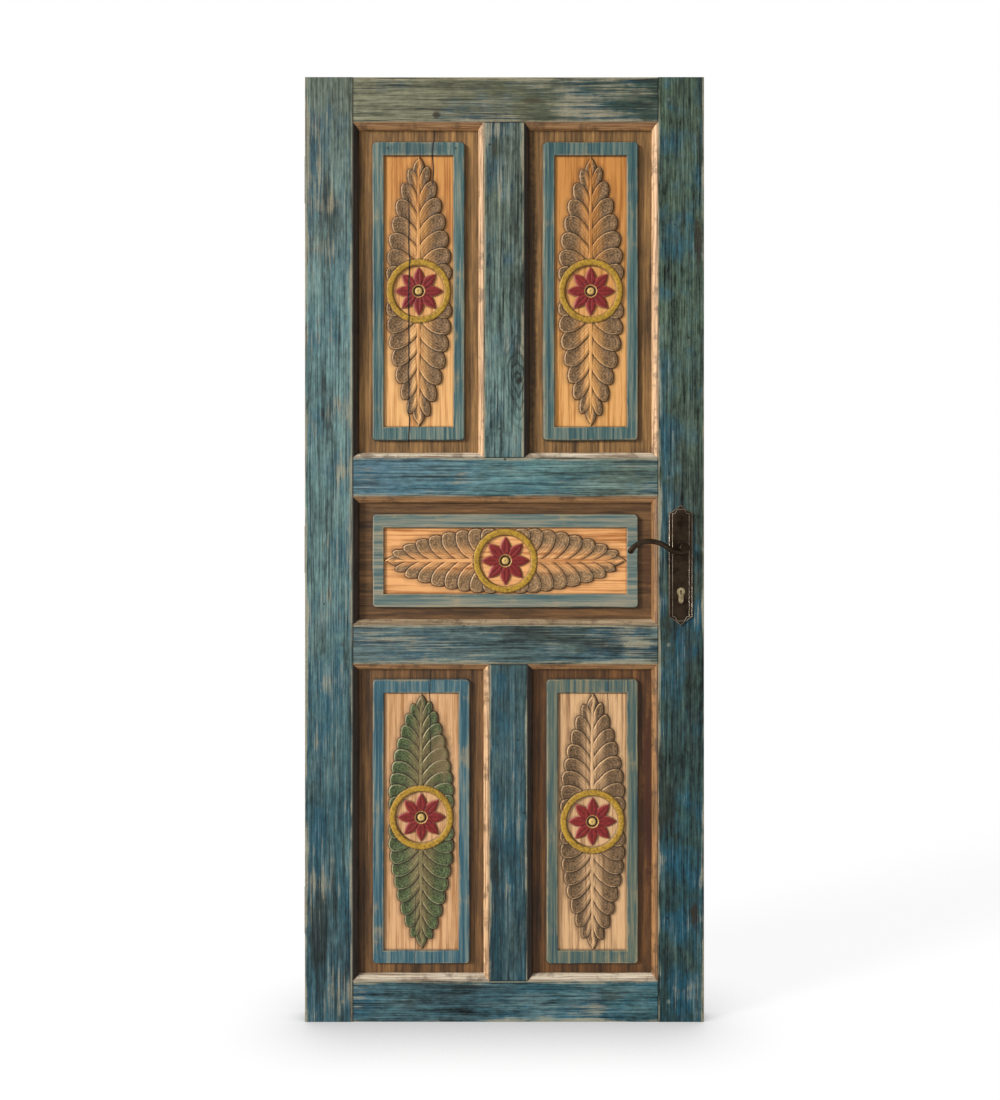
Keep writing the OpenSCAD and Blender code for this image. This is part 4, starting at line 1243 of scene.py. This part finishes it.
@dataclass
class PlateBeading:
    """Two beads on a handle plate, one round its edge and one round its raised middle, in a paler bronze that
    paints their highlights.
    """

    name: str
    way: float
    x: float = SPINDLE_X
    z: float = 967.0
    width: float = 50.0
    length: float = 256.0
    point: float = 19.0
    rim_t: float = 2.5
    front_t: float = 4.5
    rim: float = 6.5
    bead_r: float = 0.9

    def outline(self, inset: float, level: float) -> list[WirePoint]:
        """The plate's pointed outline, moved in by an inset, at a level above the leaf's face.

        Args:
            inset: How far the outline lies inside the plate's edge.
            level: Height above the leaf's face.

        Returns:
            The outline's corners for a wire.
        """
        w = self.width / 2 - inset
        straight = self.length / 2 - self.point
        shoulder = 0.72 * w
        step = 0.0 if inset > 2 else 4.0
        tip = (0.0, self.length / 2 - 1.4 * inset)
        half = [(w, straight), (shoulder, straight + step), (0.55 * shoulder, straight + self.point / 2), tip]
        top = half + [(-x, z) for x, z in half[-2::-1]]
        ring = top + [(-x, -z) for x, z in top]
        y = self.way * (FACE + level) * MM
        return [((self.x + x) * MM, y, (self.z + z) * MM, 1.0) for x, z in ring]

    def build(self, metal: bpy.types.Material) -> bpy.types.Object:
        """Bends both beads and joins them.

        Args:
            metal: The paler bronze, a painted highlight.

        Returns:
            The beading.
        """
        levels = ((self.bead_r, self.rim_t), (self.rim + self.bead_r, self.front_t))
        rings = [self.outline(inset, level) for inset, level in levels]
        beading = bend_wire(self.name, rings, self.bead_r, 3, closed=True)
        bpy.ops.object.shade_smooth_by_angle(angle=math.radians(50))
        dress(beading, metal)
        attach(beading, "leaf")
        return beading


@dataclass
class LatchSpring:
    """The coil spring behind the latch, wound at rest; in the lock it presses together as a lever draws the
    latch back.
    """

    node: str = "latch_spring"
    turns: int = 6
    steps: int = 16
    wire: float = 0.6
    travel: float = 5.5

    def build(self, metal: bpy.types.Material) -> bpy.types.Object:
        """Winds the spring between its post and the latch.

        Args:
            metal: The spring steel.

        Returns:
            The spring.
        """
        low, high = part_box(self.node)
        r = (high[2] - low[2]) / 2 - self.wire * MM
        y = (low[1] + high[1]) / 2
        z = (low[2] + high[2]) / 2
        first = low[0] + self.wire * MM
        length = high[0] - low[0] - 2 * self.wire * MM
        last = self.turns * self.steps
        line = []
        for i in range(last + 1):
            a = 2 * math.pi * i / self.steps
            line.append((first + length * i / last, y + r * math.cos(a), z + r * math.sin(a), 1.0))
        spring = bend_wire(self.node + "_wound", [line], self.wire, 2)
        bpy.ops.object.shade_smooth_by_angle(angle=math.radians(60))
        dress(spring, metal)
        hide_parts(self.node)
        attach(spring, "leaf")
        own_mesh(spring)
        return spring


@dataclass
class Leaf:
    """The frame of the leaf: stiles, rails, mullions, beads and pegs, which stay as CAD solids."""

    nodes: dict[str, bpy.types.Object]

    def paints(self) -> dict[str, WornPaint]:
        """The paint of each frame member, by the name of its node."""
        up = Grain.UPRIGHT
        flat = Grain.LYING
        return {
            "hinge_stile": WornPaint(
                "paint_hinge_stile", up,
                ((0, "#35555d"), (450, "#37555b"), (950, "#627e7b"), (1500, "#62807f"), (2000, "#676f61")),
                wear=0.62, fade=0.40, middle=-372.0, half_w=50.5,
            ),
            "lock_stile": WornPaint(
                "paint_lock_stile", up,
                ((0, "#263b3a"), (500, "#314743"), (1000, "#36423a"), (1550, "#4c5d4e"), (2000, "#465546")),
                contrast=0.80, wear=0.42, faded="#6a7767", fade=0.26, middle=374.0, half_w=48.5,
                spots=(Spot(411, 1655, 11, 55), Spot(402, 225, 9, 30)),
            ),
            "top_rail": WornPaint(
                "paint_top_rail", flat,
                ((-300, "#84836a"), (0, "#5b5c47"), (200, "#31443d")),
                contrast=0.44, ends=RAIL_ENDS, wear=0.85, faded="#80806a", fade=0.45,
                middle=1952.0, half_w=47.5,
                spots=(Spot(-143, 1920, 10, 8), Spot(60, 1950, 26, 7, "#3a3426", 0.6)),
            ),
            "upper_lock_rail": WornPaint(
                "paint_upper_lock_rail", flat,
                ((-250, "#587680"), (60, "#5c807f"), (250, "#59685d")),
                ends=RAIL_ENDS, wear=0.6, middle=1153.0, half_w=41.0,
            ),
            "lower_lock_rail": WornPaint(
                "paint_lower_lock_rail", flat,
                ((-250, "#5a6b69"), (60, "#4f6362"), (250, "#40483f")),
                contrast=0.62, ends=RAIL_ENDS, wear=0.75, fade=0.45, middle=798.5, half_w=41.5,
            ),
            "bottom_rail": WornPaint(
                "paint_bottom_rail", flat,
                ((-200, "#456369"), (0, "#305059"), (250, "#31565c")),
                contrast=0.76, ends=RAIL_ENDS, wear=0.5, fade=0.3, middle=43.0, half_w=43.0,
            ),
            "upper_mullion": WornPaint(
                "paint_upper_mullion", up, ((1300, "#5e7570"), (1500, "#63766c"), (1810, "#4c5347")),
                contrast=0.74, ends=(1194.0, 1905.0), wear=0.66, middle=-1.0, half_w=42.5,
                knots=(Knot(28, 1359, 46),), spots=(Spot(31, 1359, 7, 8, "#1b1a16", 0.85),),
            ),
            "lower_mullion": WornPaint(
                "paint_lower_mullion", up, ((190, "#25424a"), (660, "#415758")),
                ends=(86.0, 757.0), wear=0.5, fade=0.25, middle=8.0, half_w=40.5,
            ),
        }

    def dress_all(self) -> None:
        """Gives every frame member, bead and peg its finish."""
        for name, paint in self.paints().items():
            dress(self.nodes[name], paint.build())
        woods = {
            # the left beads are coloured near black as painted shade, for the side turned from the light
            "left": BareWood("bead_wood_left_painted_shade", Grain.UPRIGHT, "#1d140d", "#3f2d1e", "#140d08", 0.6, 0.9),
            "right": BareWood("bead_wood_right", Grain.UPRIGHT, "#775636", "#c6a078", "#4f3820", 0.7, 0.25),
            "top": BareWood("bead_wood_top", Grain.LYING, "#7d5531", "#b78a5c", "#3f2c1b", 0.55, 0.45),
            "bottom": BareWood("bead_wood_bottom", Grain.LYING, "#85705a", "#cdbfa8", "#4d3d2b", 0.6, 0.35),
        }
        beads = {side: wood.build() for side, wood in woods.items()}
        for name, node in self.nodes.items():
            if "_bead_" in name:
                dress(node, beads[name.rsplit("_", 1)[1]])
        brown = BareWood("bead_wood_middle", Grain.LYING, "#6f5a41", "#a08b6e", "#3c2c1c", 0.6, 0.35)
        dress(self.nodes["middle_bead_bottom"], brown.build())
        dark = BareWood("bead_wood_dark", Grain.UPRIGHT, "#4b3118", "#8f663b", "#33210f", 0.7, 0.4).build()
        dress(self.nodes["middle_bead_right"], dark)
        dress(self.nodes["lower_right_bead_right"], dark)
        tones = ((0, "#4c5f60"), (2000, "#5e6b61"))
        # so wide a half width keeps the wear of an arris off the pegs
        peg = WornPaint("paint_pegs", Grain.UPRIGHT, tones, wear=0.8, half_w=5000.0)
        dress(self.nodes["joint_pegs"], peg.build())
        LOG.info("leaf: frame, beads and pegs dressed")


@dataclass
class Hardware:
    """The lockset and the hinges."""

    nodes: dict[str, bpy.types.Object]

    def dress_all(self) -> None:
        """Gives the metal pieces their finishes and models the levers."""
        bronze = AgedMetal("dark_bronze", "#241c15", "#43372b", 0.34, 26.0).build()
        nickel = AgedMetal("satin_nickel", "#7c6c50", "#bcab86", 0.30).build()
        steel = AgedMetal("zinc_plated_steel", "#8a8780", "#b5b1a8", 0.38).build()
        brass = AgedMetal("aged_brass", "#6f5c36", "#a98f58", 0.36).build()
        iron = AgedMetal("dull_iron", "#3f3a34", "#6d665c", 0.5).build()
        plans = {
            "front_plate": bronze, "rear_plate": bronze, "plate_screws": bronze,
            "cylinder_body": nickel, "front_key_plug": nickel, "rear_key_plug": nickel,
            "cylinder_cam": nickel,
            "spindle": steel, "follower": steel, "lock_case": steel, "lock_cover": steel,
            "face_plate": brass, "face_plate_screws": brass, "cylinder_screw": brass, "latch_bolt": brass,
            "dead_bolt": brass, "hinge_screws": iron,
        }
        plans.update({name: iron for name in self.nodes if "_hinge_" in name})
        for name, metal in plans.items():
            dress(self.nodes[name], metal)
        # the beads' paler bronze is a painted highlight
        rubbed = AgedMetal("bronze_painted_highlight", "#5f5345", "#a09281", 0.40, 12.0).build()
        PlateBeading("front_plate_beading", -1.0).build(rubbed)
        PlateBeading("rear_plate_beading", 1.0).build(rubbed)
        LatchSpring().build(steel)
        LeverHandle("front_lever_bronze", "front_lever", -1.0).build(bronze)
        LeverHandle("rear_lever_bronze", "rear_lever", 1.0).build(bronze)
        LOG.info("hardware: %d nodes dressed", len(plans))


@dataclass
class Studio:
    """A white floor and backdrop, one soft sun from the upper left and the camera of the photograph."""

    distance: float = 2000.0
    middle_x: float = -9.5
    middle_z: float = 999.0
    half_frame: float = 1164.1
    sky: float = 0.36
    sun: float = 5.0

    def floor(self) -> None:
        """Lays the floor, which shows white to the camera, keeps a faint cast shadow and dims its glow near
        the door as a painted contact shadow.
        """
        bpy.ops.object.select_all(action="DESELECT")
        bpy.ops.mesh.primitive_plane_add(size=60.0, location=(0.0, 0.0, 0.0))
        ground = bpy.context.active_object
        ground.name = "studio_floor"
        floor = Surface("white_floor")
        matt = {"Base Color": linear("#f2f2f2"), "Roughness": 0.9, "Specular IOR Level": 0.0}
        floor.plug(floor.shader, matt)
        # the glow dims where the floor is hemmed in near the door: a painted contact shadow
        near = floor.add("ShaderNodeAmbientOcclusion", {"Distance": 0.22}, samples=8).outputs["AO"]
        painted_contact_shadow = floor.remap(near, 0.5, 1.0, 0.55, 1.04)
        glow = floor.add("ShaderNodeEmission", {"Color": WHITE, "Strength": painted_contact_shadow}).outputs[0]
        share = floor.calc("MULTIPLY", floor.seen()[1], 0.88)
        mixed = floor.add("ShaderNodeMixShader", {0: share, 1: floor.shader.outputs[0], 2: glow}).outputs[0]
        floor.plug(floor.output, {"Surface": mixed})
        dress(ground, floor.material)

    def lights(self) -> None:
        """Sets the world and the sun."""
        world = bpy.data.worlds.new("studio")
        bpy.context.scene.world = world
        world.use_nodes = True
        sky = Shading(world.node_tree)
        sky.tree.nodes.clear()
        path, seen = sky.seen()
        # reflections see a bright left and a dim right, as in a room with one window
        way = sky.add("ShaderNodeSeparateXYZ", {0: sky.add("ShaderNodeTexCoord").outputs["Generated"]})
        room = sky.remap(way.outputs["X"], -0.8, 0.8, 1.5, 0.35)
        pale = sky.add("ShaderNodeMix", {0: path.outputs["Is Glossy Ray"], 2: 1.0, 3: room}).outputs[0]
        strength = sky.add("ShaderNodeMix", {0: seen, 2: self.sky, 3: pale}).outputs[0]
        back = sky.add("ShaderNodeBackground", {"Color": WHITE, "Strength": strength}).outputs[0]
        sky.add("ShaderNodeOutputWorld", {"Surface": back})
        lamp = bpy.data.lights.new("window_light", "SUN")
        lamp.energy = self.sun
        lamp.angle = math.radians(14)
        sun = bpy.data.objects.new("window_light", lamp)
        bpy.context.scene.collection.objects.link(sun)
        sun.location = (-2.5, -2.0, 3.0)
        # the light falls to the right, away from the camera and a little down
        x, y, z = (0.82, 0.45, -0.35)
        sun.rotation_euler = (math.atan2(math.hypot(x, y), -z), 0.0, math.atan2(-x, y))

    def camera(self) -> None:
        """Places the camera level, straight in front of the leaf's middle."""
        data = bpy.data.cameras.new("camera")
        data.sensor_fit = "VERTICAL"
        data.angle_y = 2 * math.atan(self.half_frame / self.distance)
        data.clip_end = 100.0
        camera = bpy.data.objects.new("camera", data)
        bpy.context.scene.collection.objects.link(camera)
        camera.location = (self.middle_x * MM, -(FACE + self.distance) * MM, self.middle_z * MM)
        camera.rotation_euler = (math.pi / 2, 0.0, 0.0)
        bpy.context.scene.camera = camera

    def build(self) -> None:
        """Builds the whole studio."""
        self.floor()
        self.lights()
        self.camera()
        bpy.context.scene.view_settings.view_transform = "Standard"


def carved_panels() -> list[CarvedPanel]:
    """The five panels with their own places, colours, stains, cracks and one painted shadow."""
    up = Grain.UPRIGHT
    return [
        CarvedPanel(
            "upper_left", -321.5, 1194, -43.5, 1905, 38.0,
            PanelFinish(
                "pine_upper_left", up, oiled=OILED,
                cracks=(Crack(-152, 1767, 1905, 1.3), Crack(-203, 1194, 1761, 1.5)),
                spots=(
                    Spot(-182, 1853, 75, 15, "#1d3a40", 0.5),
                    Spot(-248, 1853, 3.0, 3.0),
                    Spot(-104, 1853, 3.0, 3.0),
                ),
            ),
            seed=11,
        ),
        CarvedPanel(
            "upper_right", 41.5, 1194, 325.5, 1905, 38.0,
            PanelFinish(
                "pine_upper_right", up, oiled=OILED, ground=("#9f6829", "#cf995b"),
                border=("#1f3b42", "#3b5654", "#676f63"),
                # painted shadow: a long dark strip down the left margin, where the mullion and its bead shade
                # it
                spots=(Spot(52, 1550, 17, 420, "#1e1309", 0.7),),
            ),
            seed=12,
        ),
        CarvedPanel(
            "middle", -321.5, 840, 325.5, 1112, 36.5,
            PanelFinish(
                "pine_middle", Grain.LYING, ground=("#9c5f2b", "#d99e64"),
                border=("#3d5556", "#5d6a62", "#857f6c"), margin=("#3a2611", "#6a4a2a"),
                leaf=("#54402a", "#b18a5e"), leaf_rim_highlight="#dcb387",
                spots=(Spot(305, 960, 12, 70, "#3a1d0c", 0.6),),
            ),
            seed=13, leaf_lobes=8,
        ),
        CarvedPanel(
            "lower_left", -321.5, 86, -32.5, 757, 33.0,
            PanelFinish(
                "pine_lower_left", up, margin=("#3a2613", "#6e4d2b"), leaf=("#202a16", "#647245"),
                leaf_rim_highlight="#a9a47c", ground=("#9a6d40", "#c99c70"), border=("#1a3c48", "#345862", "#66736d"),
                spots=(Spot(-134, 565, 26, 58, "#7a6242", 0.6),),
                cracks=(Crack(-158, 560, 757, 0.9), Crack(-190, 86, 280, 0.5)),
            ),
            rise=9.0, seed=14, leaf_lobes=9, spine_stain=0.75,
        ),
        CarvedPanel(
            "lower_right", 48.5, 86, 325.5, 757, 33.0,
            PanelFinish(
                "pine_lower_right", up, ground=("#84603f", "#c69e72"), leaf=("#382a1c", "#8c6c48"),
                border=("#27434a", "#49584f", "#736e57"), margin=("#38200b", "#62401f"),
                cracks=(Crack(221, 640, 757, 0.5),),
                spots=(Spot(309, 480, 17, 230, "#331306", 0.8),),
            ),
            seed=15, leaf_lobes=8,
        ),
    ]


def main() -> None:
    """Builds the looks in order."""
    logging.basicConfig(level=logging.INFO)
    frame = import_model()
    nodes = frame["nodes"]
    Studio().build()
    Leaf(nodes).dress_all()
    for panel in carved_panels():
        panel.build()
    Hardware(nodes).dress_all()


if __name__ == "__main__":
    main()
